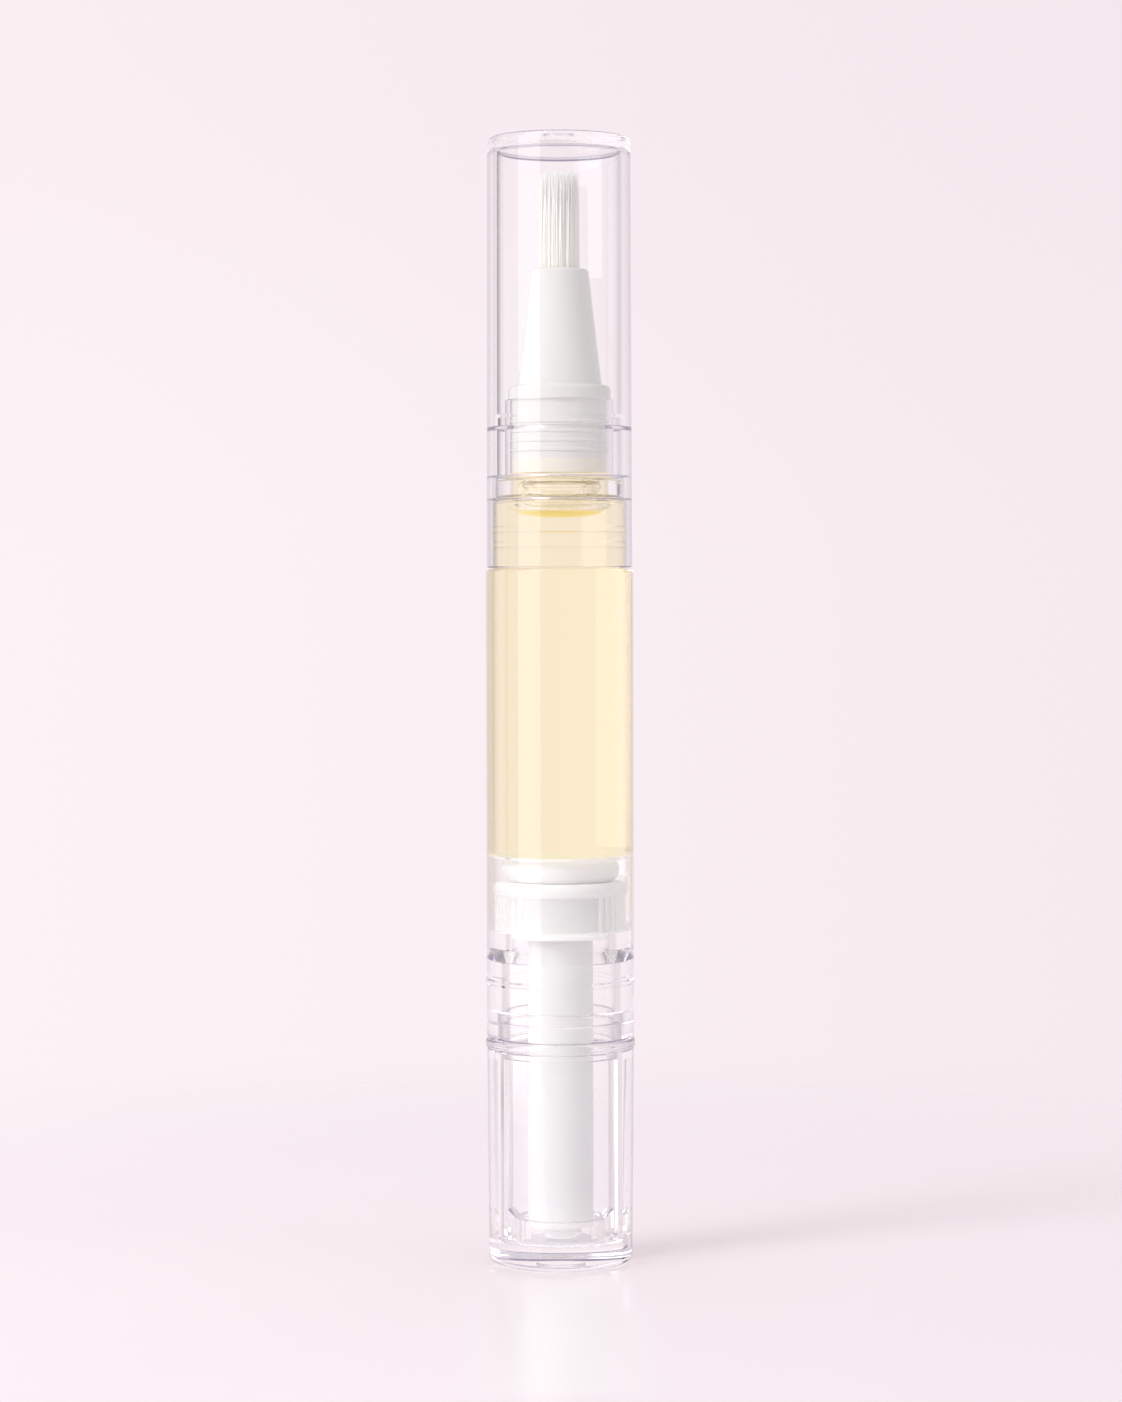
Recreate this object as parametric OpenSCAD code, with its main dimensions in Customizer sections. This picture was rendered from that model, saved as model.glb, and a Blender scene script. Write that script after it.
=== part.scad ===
/* [Knob] */
// Height of the knob, from the floor to its collar
knob_h = 25.8; // [22:0.1:30]
// Step in from the barrel's side to the knob's side
knob_step = 0.05; // [0:0.05:0.3]
// How far the knob's side draws in from the collar to the foot
knob_taper = 0.2; // [0:0.05:0.3]
// Thickness of the knob's wall above its foot
knob_wall = 1.75; // [1.3:0.05:1.8]
// Thickness of the knob's clear floor
knob_floor_t = 2.8; // [1.8:0.1:3.6]
// Radius of the knob's rounded foot edge
knob_edge_r = 0.9; // [0.3:0.1:1.4]
// Radius of the fillet round the floor of the knob's bore
knob_fillet_r = 0.6; // [0.2:0.1:0.9]
// Height of the boss that holds the drive tube's foot
boss_h = 2.7; // [2:0.1:3.6]
// Wall of the boss
boss_wall = 0.95; // [0.6:0.05:1.1]
// Gap between the boss and the drive tube
boss_gap = 0.55; // [0.4:0.05:0.7]
// Number of splines inside the boss
boss_splines = 2; // [2:1:6]
// Width of each spline
spline_w = 0.8; // [0.5:0.05:1]
// Depth that the splines reach into the drive tube's foot
spline_depth = 0.25; // [0.15:0.05:0.35]
// Depth that the drive tube's foot sits in the boss
foot_depth = 0.9; // [0.6:0.1:1.4]
// Width of each of the knob's two long flat ribs
rib_w = 4.6; // [3:0.1:5]
// Height of a long rib above the bore
rib_depth = 0.75; // [0.5:0.05:1.1]
// Width of the fin that joins each long rib to the boss
fin_w = 3.4; // [2.4:0.1:4.4]
// Rise of the fin's sloping top, from the boss to the wall
fin_rise = 2; // [1:0.1:4]
// Diameter of the moulding gate's recess under the knob
foot_gate_d = 4; // [2:0.1:5]
// Depth of the moulding gate's recess under the knob
foot_gate_depth = 0.2; // [0.1:0.1:1.2]

/* [Collar] */
// Height of the collar's bead, between the knob and the barrel
collar_h = 1.4; // [1:0.1:2.4]
// How far the bead stands out from the barrel's side
collar_proud = 0.1; // [0.05:0.05:0.5]
// Radius of the bead's rounded edges
collar_edge_r = 0.5; // [0.2:0.05:0.5]
// Wall of the collar's spigot
spigot_wall = 0.85; // [0.8:0.05:1.1]
// Depth of the round groove inside the bead
collar_groove_depth = 0.35; // [0.1:0.05:0.5]
// Length of the collar's plug, inside the knob
plug_l = 0.9; // [0.6:0.1:2]
// Length of the collar's spigot, inside the barrel
spigot_l = 3.2; // [2.4:0.1:4]
// Height of the snap bead at the top of the spigot
snap_h = 1.1; // [0.8:0.05:1.4]
// How far the snap bead stands out
snap_depth = 0.2; // [0.1:0.05:0.3]

/* [Barrel] */
// Outer diameter of the barrel
barrel_d = 17.8; // [17:0.1:20]
// Length of the barrel, from its lower end to the cap's seat
barrel_l = 56.3; // [56:0.1:66]
// Wall round the oil chamber
chamber_wall = 3; // [2.8:0.05:3.2]
// Wall round the mechanism, below the chamber
mech_wall = 2.25; // [1.9:0.05:2.5]
// Length of the barrel below the oil chamber
mech_l = 10.6; // [9:0.1:13]
// Wall of the socket that takes the collar's spigot
socket_wall = 1.5; // [1.3:0.05:1.6]
// How far the faint ring stands out from the barrel's side
witness_depth = 0.1; // [0.05:0.05:0.3]
// Height of the faint ring
witness_h = 0.7; // [0.5:0.1:1.2]
// Height of the faint ring above the barrel's lower end
witness_up = 6.4; // [5:0.1:9]
// Radius of the barrel's upper outer edge
barrel_edge_r = 0.45; // [0.2:0.05:0.6]
// Step in from the barrel's side to the seat that the cap slides over
seat_step = 0.95; // [0.9:0.05:1.1]
// Length of the seat
seat_l = 7.9; // [6:0.1:11]
// How far the seat's two rings stand out
seat_ring_depth = 0.16; // [0.08:0.02:0.2]
// Height of each seat ring
seat_ring_h = 0.9; // [0.5:0.1:1.2]
// Radius of the seat's upper edge
seat_edge_r = 0.3; // [0.1:0.05:0.5]
// Step in from the seat to the shoulder above it
shoulder_step = 0.35; // [0.3:0.05:0.6]
// Height of the shoulder above the seat
shoulder_h = 2.7; // [2.2:0.1:3.6]
// Radius of the shoulder's upper edge
shoulder_edge_r = 0.4; // [0.2:0.05:0.7]
// Step in from the shoulder to the neck
neck_step = 1.05; // [0.8:0.05:1.1]
// Wall of the neck
neck_wall = 0.6; // [0.5:0.05:0.8]
// Height of the neck
neck_h = 9.6; // [9.2:0.1:12]
// Radius of the fillet at the neck's root
neck_fillet_r = 0.3; // [0.1:0.05:0.5]
// Thickness of the web between the chamber and the neck
web_t = 1.8; // [1.2:0.1:2.4]
// Step in from the chamber's side to the throat through the web
throat_step = 1.9; // [1.6:0.1:2.1]
// Radius of the chamber's rounded ceiling
ceiling_r = 1.2; // [0.5:0.1:1.5]

/* [Oil] */
// Air between the oil in the neck and the nozzle's stem
stem_air = 0.1; // [0.1:0.1:1]
// Oil round the bubble's wide lobe, in the chamber
bubble_side_t = 1.6; // [1.4:0.1:2]
// Height of the bubble's wide lobe
bubble_low_h = 2.6; // [1.6:0.1:2.8]
// Oil round the bubble's upper lobe, in the throat
bubble_throat_t = 0.5; // [0.4:0.1:1]
// Height of the bubble's upper lobe
bubble_top_h = 1.8; // [1.2:0.1:2]

/* [Piston] */
// Height of the piston's body
body_h = 6.7; // [6.4:0.1:8]
// Step in from the chamber's side to the piston's body
body_step = 0.4; // [0.3:0.05:0.5]
// Thickness of the body's crown
crown_t = 1.4; // [1:0.1:1.8]
// Radius of the crown's rounded edge
crown_edge_r = 0.8; // [0.3:0.1:1]
// Step in from the body to its ribbed waist
waist_step = 0.4; // [0.3:0.05:0.5]
// Wall of the waist, round the drive tube
waist_wall = 0.85; // [0.6:0.05:1]
// How far the waist's ribs stand out
waist_rib_depth = 0.25; // [0.1:0.05:0.3]
// Width of each waist rib
waist_rib_w = 0.4; // [0.3:0.05:0.5]
// Number of waist ribs on each side
waist_ribs = 9; // [5:2:11]
// Angle between one waist rib and the next
waist_rib_turn = 10; // [8:1:12]
// Height of the plain band over the waist's ribs
band_h = 1.7; // [1.4:0.1:2.4]
// Height of the piston's lower lip
lip_h = 0.7; // [0.4:0.1:1]
// Height of the stud that carries the cup seal
stud_h = 1.3; // [1.2:0.1:1.6]
// Wall of the stud, round the rod's snap head
stud_wall = 1.2; // [1:0.05:1.3]
// Height of the cup seal
cup_h = 3.1; // [3.1:0.1:4]
// Wall of the cup seal at its foot, round the stud
cup_foot_wall = 0.8; // [0.7:0.05:1]
// Room between the chamber's side and the cup seal's belly
cup_belly_room = 1.05; // [0.9:0.05:1.3]
// Thickness of the cup seal's lip
cup_lip_t = 0.3; // [0.2:0.05:0.4]
// Depth of the dish in the top of the cup seal
dish_depth = 0.8; // [0.5:0.1:1]
// Width of the rim round the dish's flat floor
dish_rim_w = 2.4; // [1.9:0.1:2.9]
// Height that the piston parks above the lower end of the chamber
park_h = 1.4; // [0.5:0.1:1.5]

/* [Drive] */
// Lead of the screw thread, for each turn of the knob
thread_lead = 2.5; // [2.4:0.1:3]
// Width of the thread's crest
thread_crest_w = 0.5; // [0.4:0.05:0.6]
// Width of the thread's root
thread_root_w = 1.1; // [0.9:0.05:1.3]
// Depth of the rod's thread
thread_depth = 0.55; // [0.4:0.05:0.6]
// Diameter of the rod's neck through the piston's crown
rod_neck_d = 2.8; // [2.4:0.1:3]
// Diameter of the rod's snap head
rod_head_d = 4; // [3.6:0.1:4.2]
// Height of the rod's snap head
rod_head_h = 1.1; // [0.9:0.1:1.2]
// Wall of the drive tube
tube_wall = 1.1; // [1:0.05:1.2]
// Height of the threaded insert
insert_h = 4.5; // [4:0.1:5]
// Depth of the insert's six flats in the drive tube's wall
insert_depth = 0.3; // [0.25:0.05:0.4]

/* [Nozzle] */
// Step in from the neck's side to the nozzle's flange
flange_step = 0.35; // [0.1:0.05:0.5]
// Height of the flange
flange_h = 1.7; // [1:0.1:2.2]
// Radius of the flange's upper edge
flange_edge_r = 0.6; // [0.3:0.05:0.8]
// Width of the ledge between the flange's side and the cone
flange_ledge_w = 1.05; // [0.9:0.05:1.3]
// Height of the cone
cone_h = 13.9; // [12:0.1:18]
// Wall of the cone's tip, round the bristles
tip_wall = 0.97; // [0.8:0.01:1.2]
// Radius of the cone's rounded tip
cone_edge_r = 0.45; // [0.2:0.05:0.5]
// Length of the nozzle's stem inside the neck
stem_l = 8.8; // [8:0.1:9]
// Wall of the stem
stem_wall = 1.2; // [0.9:0.05:1.5]
// Number of sealing rings on the stem
stem_rings = 4; // [2:1:5]
// Height of one sealing ring
stem_ring_h = 0.5; // [0.3:0.05:0.6]
// How far the sealing rings stand out
stem_ring_depth = 0.2; // [0.1:0.05:0.25]
// Height of the brush's pocket inside the cone, above the flange's underside
pocket_h = 7; // [6:0.1:8]

/* [Brush] */
// Diameter of the bundle of bristles
bundle_d = 5.1; // [4.9:0.05:5.6]
// Gap between the bundle and the hole in the nozzle's tip
bundle_gap = 0.08; // [0.05:0.01:0.12]
// Length of the bristles above the nozzle
free_l = 12; // [9:0.1:14]
// Unevenness of the bristles' tips
tip_spread = 0.8; // [0.2:0.1:1.5]
// Number of bristles
strand_count = 360; // [300:20:380]
// Radius of one bristle
strand_r = 0.08; // [0.05:0.01:0.08]
// Thickness of the backing that the bristles are fused to
backing_t = 1; // [0.8:0.1:1.6]
// Width of the backing's ledge round the bundle
backing_ledge_w = 0.45; // [0.4:0.05:0.5]
// Height of the brush seat
brush_seat_h = 2.4; // [1.8:0.1:3]
// Outer diameter of the feed tube
feed_d = 1.6; // [1.4:0.05:1.7]
// Diameter of the feed tube's bore
feed_bore_d = 0.9; // [0.6:0.05:1]
// Length of the feed tube
feed_l = 17.6; // [17:0.1:19]

/* [Cap] */
// Step in from the barrel's side to the cap's mouth
cap_step = 0.15; // [0:0.05:0.25]
// How far the cap's side draws in from its mouth to its closed end
cap_taper = 0.15; // [0:0.05:0.2]
// Wall of the cap
cap_wall = 1.2; // [0.9:0.05:1.25]
// Thickness of the cap's top
cap_top_t = 1.5; // [0.9:0.1:1.6]
// Room between the bristles' tips and the cap's ceiling
cap_headroom = 2.2; // [1:0.1:6]
// Radius of the cap's rounded top edge
cap_edge_r = 0.6; // [0.4:0.1:1.1]
// Radius of the fillet in the cap's closed end
cap_fillet_r = 0.5; // [0.2:0.1:0.9]
// Height of the inner ring above the cap's mouth
cap_ring_up = 16.4; // [14:0.1:20]
// Height of the inner ring
cap_ring_h = 1.9; // [0.8:0.1:2.4]
// How far the inner ring stands in from the bore
cap_ring_depth = 0.2; // [0.1:0.05:0.3]
// Diameter of the moulding gate's recess in the cap's top
cap_gate_d = 2.6; // [1.6:0.1:4]
// Depth of the moulding gate's recess in the cap's top
cap_gate_depth = 0.15; // [0.1:0.05:0.5]

/* [Fits] */
// Gap at the seams between pieces that turn or pull apart
seam_gap = 0.1; // [0.05:0.01:0.15]
// Radial clearance of the piston in the chamber
piston_gap = 0.03; // [0.02:0.01:0.05]
// Radial clearance of turning and sliding plastic pieces
running_gap = 0.05; // [0.03:0.01:0.08]
// Radial clearance of pieces pushed together
push_gap = 0.02; // [0.01:0.01:0.03]
// Clearance between the rod's thread and the insert's
thread_gap = 0.16; // [0.14:0.01:0.18]
// Gap left between the oil and what it touches
film_gap = 0.03; // [0.02:0.01:0.05]

/* [Hidden] */

// Sides of turned faces, of the round parts of the brush, and of the plain prisms in the drive
smooth = 96;
backing_sides = 48;
feed_sides = 24;
prism_sides = 12;
hex_sides = 6;
// Steps of an arc, steps of the screw thread in one turn, and angle between points of a curve
arc_steps = 6;
turn_steps = 20;
curve_step = 10;
belly_step = 14;
// Angle at which the cup seal's belly runs into its lip
belly_end = 50;
// Turn from one bristle to the next, and of the wave that sets the heights of their tips
golden_angle = 137.508;
tip_angle = 52.5;

// Overrun of cuts past the face they open
over = 1;
// Depth that fused shapes reach into one another
sink = 0.1;
// Small gaps and edges of single features
rib_end_gap = 0.2;
snap_gap = 0.1;
rod_end_gap = 0.3;
rod_side_gap = 0.3;
tube_end_gap = 0.4;
tube_side_gap = 0.3;
mouth_gap = 0.3;
shoulder_gap = 0.15;
head_gap = 0.1;
bubble_roof = 0.9;
bubble_join = 0.5;
small_edge = 0.15;
thread_run_out = 0.6;

// Places and heights, as shares of the height of the piece that carries them
seat_ring_shares = [0.3, 0.53];
stem_ring_low_share = 0.28;
stem_ring_span_share = 0.51;
bump_slope_share = 0.25;
groove_share = 0.8;
belly_share = 0.88;
strand_shoulder_share = 0.9;
tip_r_share = 0.6;
tip_bundle_share = 0.9;

// Radii, from the barrel's side in to the oil, and up to the nozzle
barrel_r = barrel_d / 2;
socket_r = barrel_r - socket_wall;
mech_r = barrel_r - mech_wall;
bore_r = barrel_r - chamber_wall;
throat_r = bore_r - throat_step;
seat_r = barrel_r - seat_step;
shoulder_r = seat_r - shoulder_step;
neck_r = shoulder_r - neck_step;
neck_bore_r = neck_r - neck_wall;
stem_r = neck_bore_r - push_gap - stem_ring_depth;
stem_bore_r = stem_r - stem_wall;
flange_r = neck_r - flange_step;
cone_base_r = flange_r - flange_ledge_w;

// Radii of the brush and of what holds it
bundle_r = bundle_d / 2;
tip_hole_r = bundle_r + bundle_gap;
cone_tip_r = tip_hole_r + tip_wall;
pocket_r = bundle_r + backing_ledge_w;
backing_r = pocket_r - push_gap;
feed_r = feed_d / 2;

// Radii of the piston and the drive, from the chamber's side in to the screw
piston_r = bore_r - piston_gap;
body_r = bore_r - body_step;
waist_r = body_r - waist_step;
hollow_r = waist_r - waist_wall;
tube_r = hollow_r - tube_side_gap;
tube_key_r = tube_r - spline_depth;
tube_bore_r = tube_r - tube_wall;
tube_rest_r = tube_bore_r + spline_w;
insert_flat_r = tube_bore_r + insert_depth;
rod_r = tube_bore_r - rod_side_gap;
core_r = rod_r - thread_depth;
insert_bore_r = (core_r + thread_gap) / cos(180 / prism_sides);
stud_r = rod_head_d / 2 + stud_wall;
cup_foot_r = stud_r + cup_foot_wall;
cup_belly_r = bore_r - cup_belly_room;
dish_r = bore_r - dish_rim_w;
bubble_r = bore_r - bubble_side_t;
bubble_top_r = throat_r - bubble_throat_t;

// Radii of the knob, its collar and the cap
knob_top_r = barrel_r - knob_step;
knob_foot_r = knob_top_r - knob_taper;
knob_bore_r = knob_foot_r - knob_wall;
rib_crest_r = knob_bore_r - rib_depth;
boss_hollow_r = tube_r + boss_gap;
boss_r = boss_hollow_r + boss_wall;
plug_r = knob_bore_r - push_gap;
bead_r = barrel_r + collar_proud;
spigot_r = socket_r - running_gap;
collar_bore_r = spigot_r - spigot_wall;
snap_r = spigot_r + snap_depth;
groove_r = snap_r + snap_gap;
cap_mouth_r = barrel_r - cap_step;
cap_end_r = cap_mouth_r - cap_taper;
cap_bore_r = cap_end_r - cap_wall;
mouth_r = seat_r + seat_ring_depth + running_gap;
cap_shoulder_r = shoulder_r + shoulder_gap;

// Places up the pen's axis, from the floor
collar_z = knob_h;
knob_end_z = collar_z + collar_h;
plug_z = collar_z - plug_l;
spigot_top_z = knob_end_z + spigot_l;
snap_z = spigot_top_z - snap_h;
barrel_z = knob_end_z + seam_gap;
socket_top_z = spigot_top_z + seam_gap;
chamber_z = barrel_z + mech_l;
witness_z = barrel_z + witness_up;
seat_z = barrel_z + barrel_l;
seat_top_z = seat_z + seat_l;
neck_z = seat_top_z + shoulder_h;
neck_top_z = neck_z + neck_h;
ceiling_z = neck_z - web_t;
flange_top_z = neck_top_z + flange_h;
cone_top_z = flange_top_z + cone_h;
stem_z = neck_top_z - stem_l;
pocket_top_z = neck_top_z + pocket_h;
backing_z = pocket_top_z - backing_t;
brush_seat_z = backing_z - brush_seat_h;
bristle_top_z = cone_top_z + free_l;
cap_z = seat_z + seam_gap;
cap_ceiling_z = bristle_top_z + cap_headroom;
cap_top_z = cap_ceiling_z + cap_top_t;
piston_z = chamber_z + park_h;
lip_top_z = piston_z + lip_h;
body_top_z = piston_z + body_h;
band_z = body_top_z - band_h;
crown_z = body_top_z - crown_t;
stud_top_z = body_top_z + stud_h;
cup_top_z = body_top_z + cup_h;
dish_z = cup_top_z - dish_depth;
boss_z = knob_floor_t + boss_h;
tube_z = boss_z - foot_depth;
tube_top_z = crown_z - tube_end_gap;
insert_z = tube_top_z - insert_h;
rod_z = knob_floor_t + rod_end_gap;
oil_top_z = stem_z - stem_air;
bubble_top_z = neck_z - bubble_roof;
bubble_mid_z = bubble_top_z - bubble_top_h + bubble_join;
bubble_z = bubble_mid_z - bubble_low_h;

// Points of an arc about (x, y), from angle a to angle b
function arc(x, y, r, a, b) = [
    for (i = [0:arc_steps]) [
        x + r * cos(a + (b - a) * i / arc_steps),
        y + r * sin(a + (b - a) * i / arc_steps)
    ]
];

// Points of a bump of a given depth and height, up a wall of radius r from z
function bump(r, depth, z, h) = [
    [r, z],
    [r + depth, z + h * bump_slope_share],
    [r + depth, z + h * (1 - bump_slope_share)],
    [r, z + h]
];

// A solid turned about the pen's axis from points of radius and height
module turned(points) {
    rotate_extrude($fn = smooth) polygon(points);
}

// A plain ring between two radii and two heights
module ring(outer_r, inner_r, low_z, high_z) {
    translate([0, 0, low_z]) difference() {
        cylinder(r = outer_r, h = high_z - low_z, $fn = smooth);
        translate([0, 0, -over]) cylinder(r = inner_r, h = high_z - low_z + 2 * over, $fn = smooth);
    }
}

// A straight block along a radius, between two radii and two heights
module spoke(inner_r, outer_r, w, low_z, high_z) {
    translate([inner_r, -w / 2, low_z]) cube([outer_r - inner_r, w, high_z - low_z]);
}

// Copies round the axis
module around(count) {
    for (i = [0:count - 1]) rotate(360 * i / count) children();
}

// The knob's clear cup, with its boss, splines, fins and long ribs
module knob_shell() {
    difference() {
        turned(concat(
            [[0, 0]],
            arc(knob_foot_r - knob_edge_r, knob_edge_r, knob_edge_r, -90, 0),
            [[knob_top_r, knob_h], [0, knob_h]]
        ));
        turned(concat(
            [[0, knob_floor_t]],
            arc(knob_bore_r - knob_fillet_r, knob_floor_t + knob_fillet_r, knob_fillet_r, -90, 0),
            [[knob_bore_r, knob_h + over], [0, knob_h + over]]
        ));
        translate([0, 0, -over]) cylinder(d = foot_gate_d, h = foot_gate_depth + over, $fn = smooth);
    }
}

module knob_fin() {
    floor_z = knob_floor_t - sink;
    rotate([90, 0, 0]) translate([0, 0, -fin_w / 2]) linear_extrude(fin_w) polygon([
        [boss_r - sink, floor_z],
        [knob_bore_r + sink, floor_z],
        [knob_bore_r + sink, boss_z + fin_rise],
        [boss_r - sink, boss_z]
    ]);
}

module knob() {
    floor_z = knob_floor_t - sink;
    spline_out_r = boss_hollow_r + sink;
    color([0.96, 0.93, 0.95]) {
        knob_shell();
        ring(boss_r, boss_hollow_r, floor_z, boss_z);
        around(boss_splines) {
            spoke(tube_rest_r, spline_out_r, spline_w, floor_z, tube_z);
            spoke(tube_key_r + push_gap, spline_out_r, spline_w, tube_z - sink, boss_z);
        }
        around(2) {
            knob_fin();
            spoke(rib_crest_r, knob_bore_r + sink, rib_w, floor_z, plug_z - rib_end_gap);
        }
    }
}

module knob_collar() {
    edge = collar_edge_r;
    inner_r = collar_bore_r;
    color([0.95, 0.93, 0.95]) difference() {
        turned(concat(
            [[inner_r, plug_z], [plug_r - small_edge, plug_z]],
            [[plug_r, plug_z + small_edge], [plug_r, collar_z]],
            arc(bead_r - edge, collar_z + edge, edge, -90, 0),
            arc(bead_r - edge, knob_end_z - edge, edge, 0, 90),
            [[spigot_r, knob_end_z], [spigot_r, snap_z - snap_depth], [snap_r, snap_z]],
            [[snap_r, spigot_top_z - snap_depth], [spigot_r, spigot_top_z], [inner_r, spigot_top_z]]
        ));
        translate([0, 0, collar_z]) turned(concat(
            [[inner_r - over, 0], [inner_r, 0]],
            [for (a = [-90:curve_step:90]) [
                inner_r + collar_groove_depth * cos(a),
                collar_h * (1 + groove_share * sin(a)) / 2
            ]],
            [[inner_r, collar_h], [inner_r - over, collar_h]]
        ));
    }
}

module drive_tube() {
    color("white") difference() {
        ring(tube_r, tube_bore_r, tube_z, tube_top_z);
        translate([0, 0, insert_z])
            cylinder(r = insert_flat_r / cos(180 / hex_sides), h = insert_h + over, $fn = hex_sides);
        around(boss_splines)
            spoke(tube_key_r, tube_r + over, spline_w + 2 * push_gap, tube_z - over, boss_z + push_gap);
    }
}

// Corners of the thread's section at one step up the screw, with a gap added all round
function thread_corners(i, gap, root_r) = let (
    a = -360 * i / turn_steps,
    z = rod_z + thread_run_out + thread_lead * i / turn_steps,
    crest_r = rod_r + gap,
    root_half = thread_root_w / 2 + gap,
    crest_half = thread_crest_w / 2 + gap
) [
    [root_r * cos(a), root_r * sin(a), z - root_half],
    [crest_r * cos(a), crest_r * sin(a), z - crest_half],
    [crest_r * cos(a), crest_r * sin(a), z + crest_half],
    [root_r * cos(a), root_r * sin(a), z + root_half]
];

// The left-hand thread's ridge, from one step to another
module thread_ridge(first, last, gap, root_r) {
    steps = last - first;
    points = [for (i = [first:last]) each thread_corners(i, gap, root_r)];
    sides = [
        for (i = [0:steps - 1]) for (j = [0:3]) let (
            p = 4 * i + j,
            q = 4 * i + (j + 1) % 4
        ) each [[p, q + 4, q], [p, p + 4, q + 4]]
    ];
    near = [[0, 1, 2], [0, 2, 3]];
    end = 4 * steps;
    far = [[end, end + 2, end + 1], [end, end + 3, end + 2]];
    polyhedron(points, concat(sides, near, far));
}

// Steps up the screw to a height
function thread_step(z) = floor((z - rod_z - thread_run_out) / thread_lead * turn_steps);

module thread_insert() {
    color([0.93, 0.93, 0.92]) difference() {
        translate([0, 0, insert_z])
            cylinder(r = insert_flat_r / cos(180 / hex_sides) - push_gap, h = insert_h, $fn = hex_sides);
        translate([0, 0, insert_z - over])
            cylinder(r = insert_bore_r, h = insert_h + 2 * over, $fn = prism_sides);
        thread_ridge(
            thread_step(insert_z - thread_root_w - over),
            thread_step(tube_top_z + thread_root_w + over),
            thread_gap,
            core_r
        );
    }
}

module piston_rod() {
    color("white") {
        translate([0, 0, rod_z]) cylinder(r = core_r, h = crown_z - rod_z, $fn = prism_sides);
        thread_ridge(0, thread_step(crown_z - thread_root_w), 0, core_r - 2 * sink);
        translate([0, 0, crown_z - sink])
            cylinder(d = rod_neck_d, h = crown_t + 2 * sink, $fn = prism_sides);
        translate([0, 0, body_top_z]) cylinder(d = rod_head_d, h = rod_head_h, $fn = prism_sides);
    }
}

module barrel_outside() {
    r = barrel_r;
    edge = barrel_edge_r;
    turned(concat(
        [[0, barrel_z], [r - small_edge, barrel_z], [r, barrel_z + small_edge]],
        bump(r, witness_depth, witness_z, witness_h),
        arc(r - edge, seat_z - edge, edge, 0, 90),
        [[seat_r, seat_z]],
        bump(seat_r, seat_ring_depth, seat_z + seat_l * seat_ring_shares[0], seat_ring_h),
        bump(seat_r, seat_ring_depth, seat_z + seat_l * seat_ring_shares[1], seat_ring_h),
        arc(seat_r - seat_edge_r, seat_top_z - seat_edge_r, seat_edge_r, 0, 45),
        [[shoulder_r, seat_top_z]],
        arc(shoulder_r - shoulder_edge_r, neck_z - shoulder_edge_r, shoulder_edge_r, 0, 90),
        arc(neck_r + neck_fillet_r, neck_z + neck_fillet_r, neck_fillet_r, -90, -180),
        [[neck_r, neck_top_z - small_edge], [neck_r - small_edge, neck_top_z], [0, neck_top_z]]
    ));
}

module barrel_inside() {
    turned(concat(
        [[0, barrel_z - over], [socket_r, barrel_z - over], [socket_r, snap_z - snap_depth - snap_gap]],
        [[groove_r, snap_z - snap_gap], [groove_r, socket_top_z], [mech_r, socket_top_z]],
        [[mech_r, chamber_z - (mech_r - bore_r)], [bore_r, chamber_z]],
        arc(bore_r - ceiling_r, ceiling_z - ceiling_r, ceiling_r, 0, 90),
        [[throat_r, ceiling_z], [throat_r, neck_z], [neck_bore_r, neck_z]],
        [[neck_bore_r, neck_top_z + over], [0, neck_top_z + over]]
    ));
}

module barrel() {
    color([0.96, 0.94, 0.94]) difference() {
        barrel_outside();
        barrel_inside();
    }
}

// One lobe of the bubble, an ellipse of revolution
module bubble_lobe(r, low_z, high_z) {
    half = (high_z - low_z) / 2;
    turned([for (a = [-90:curve_step:90]) [r * cos(a), low_z + half + half * sin(a)]]);
}

module oil() {
    r = bore_r - film_gap;
    web_r = throat_r - film_gap;
    top_r = neck_bore_r - film_gap;
    color([0.98, 0.9, 0.72]) difference() {
        turned(concat(
            [[0, dish_z + film_gap], [dish_r, dish_z + film_gap]],
            [[piston_r - cup_lip_t, cup_top_z + film_gap], [r, cup_top_z + film_gap]],
            arc(bore_r - ceiling_r, ceiling_z - ceiling_r, ceiling_r - film_gap, 0, 90),
            [[web_r, ceiling_z - film_gap], [web_r, neck_z + film_gap], [top_r, neck_z + film_gap]],
            [[top_r, oil_top_z], [0, oil_top_z]]
        ));
        bubble_lobe(bubble_r, bubble_z, bubble_mid_z);
        bubble_lobe(bubble_top_r, bubble_mid_z - bubble_join, bubble_top_z);
    }
}

module piston_body() {
    color([0.97, 0.95, 0.94]) {
        difference() {
            turned(concat(
                [[0, piston_z], [piston_r - small_edge, piston_z], [piston_r, piston_z + small_edge]],
                [[piston_r, lip_top_z - small_edge], [waist_r, lip_top_z + small_edge]],
                [[waist_r, band_z - small_edge], [body_r, band_z + small_edge]],
                arc(body_r - crown_edge_r, body_top_z - crown_edge_r, crown_edge_r, 0, 90),
                [[stud_r, body_top_z], [stud_r, stud_top_z], [0, stud_top_z]]
            ));
            translate([0, 0, piston_z - over])
                cylinder(r = hollow_r, h = crown_z - piston_z + over, $fn = smooth);
            translate([0, 0, piston_z])
                cylinder(d = rod_neck_d + 2 * push_gap, h = body_h + over, $fn = smooth);
            translate([0, 0, body_top_z])
                cylinder(d = rod_head_d + 2 * push_gap, h = stud_h + over, $fn = smooth);
        }
        around(2) for (i = [0:waist_ribs - 1])
            rotate(waist_rib_turn * (i - (waist_ribs - 1) / 2))
                spoke(waist_r - sink, waist_r + waist_rib_depth, waist_rib_w, lip_top_z, band_z);
    }
}

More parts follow.
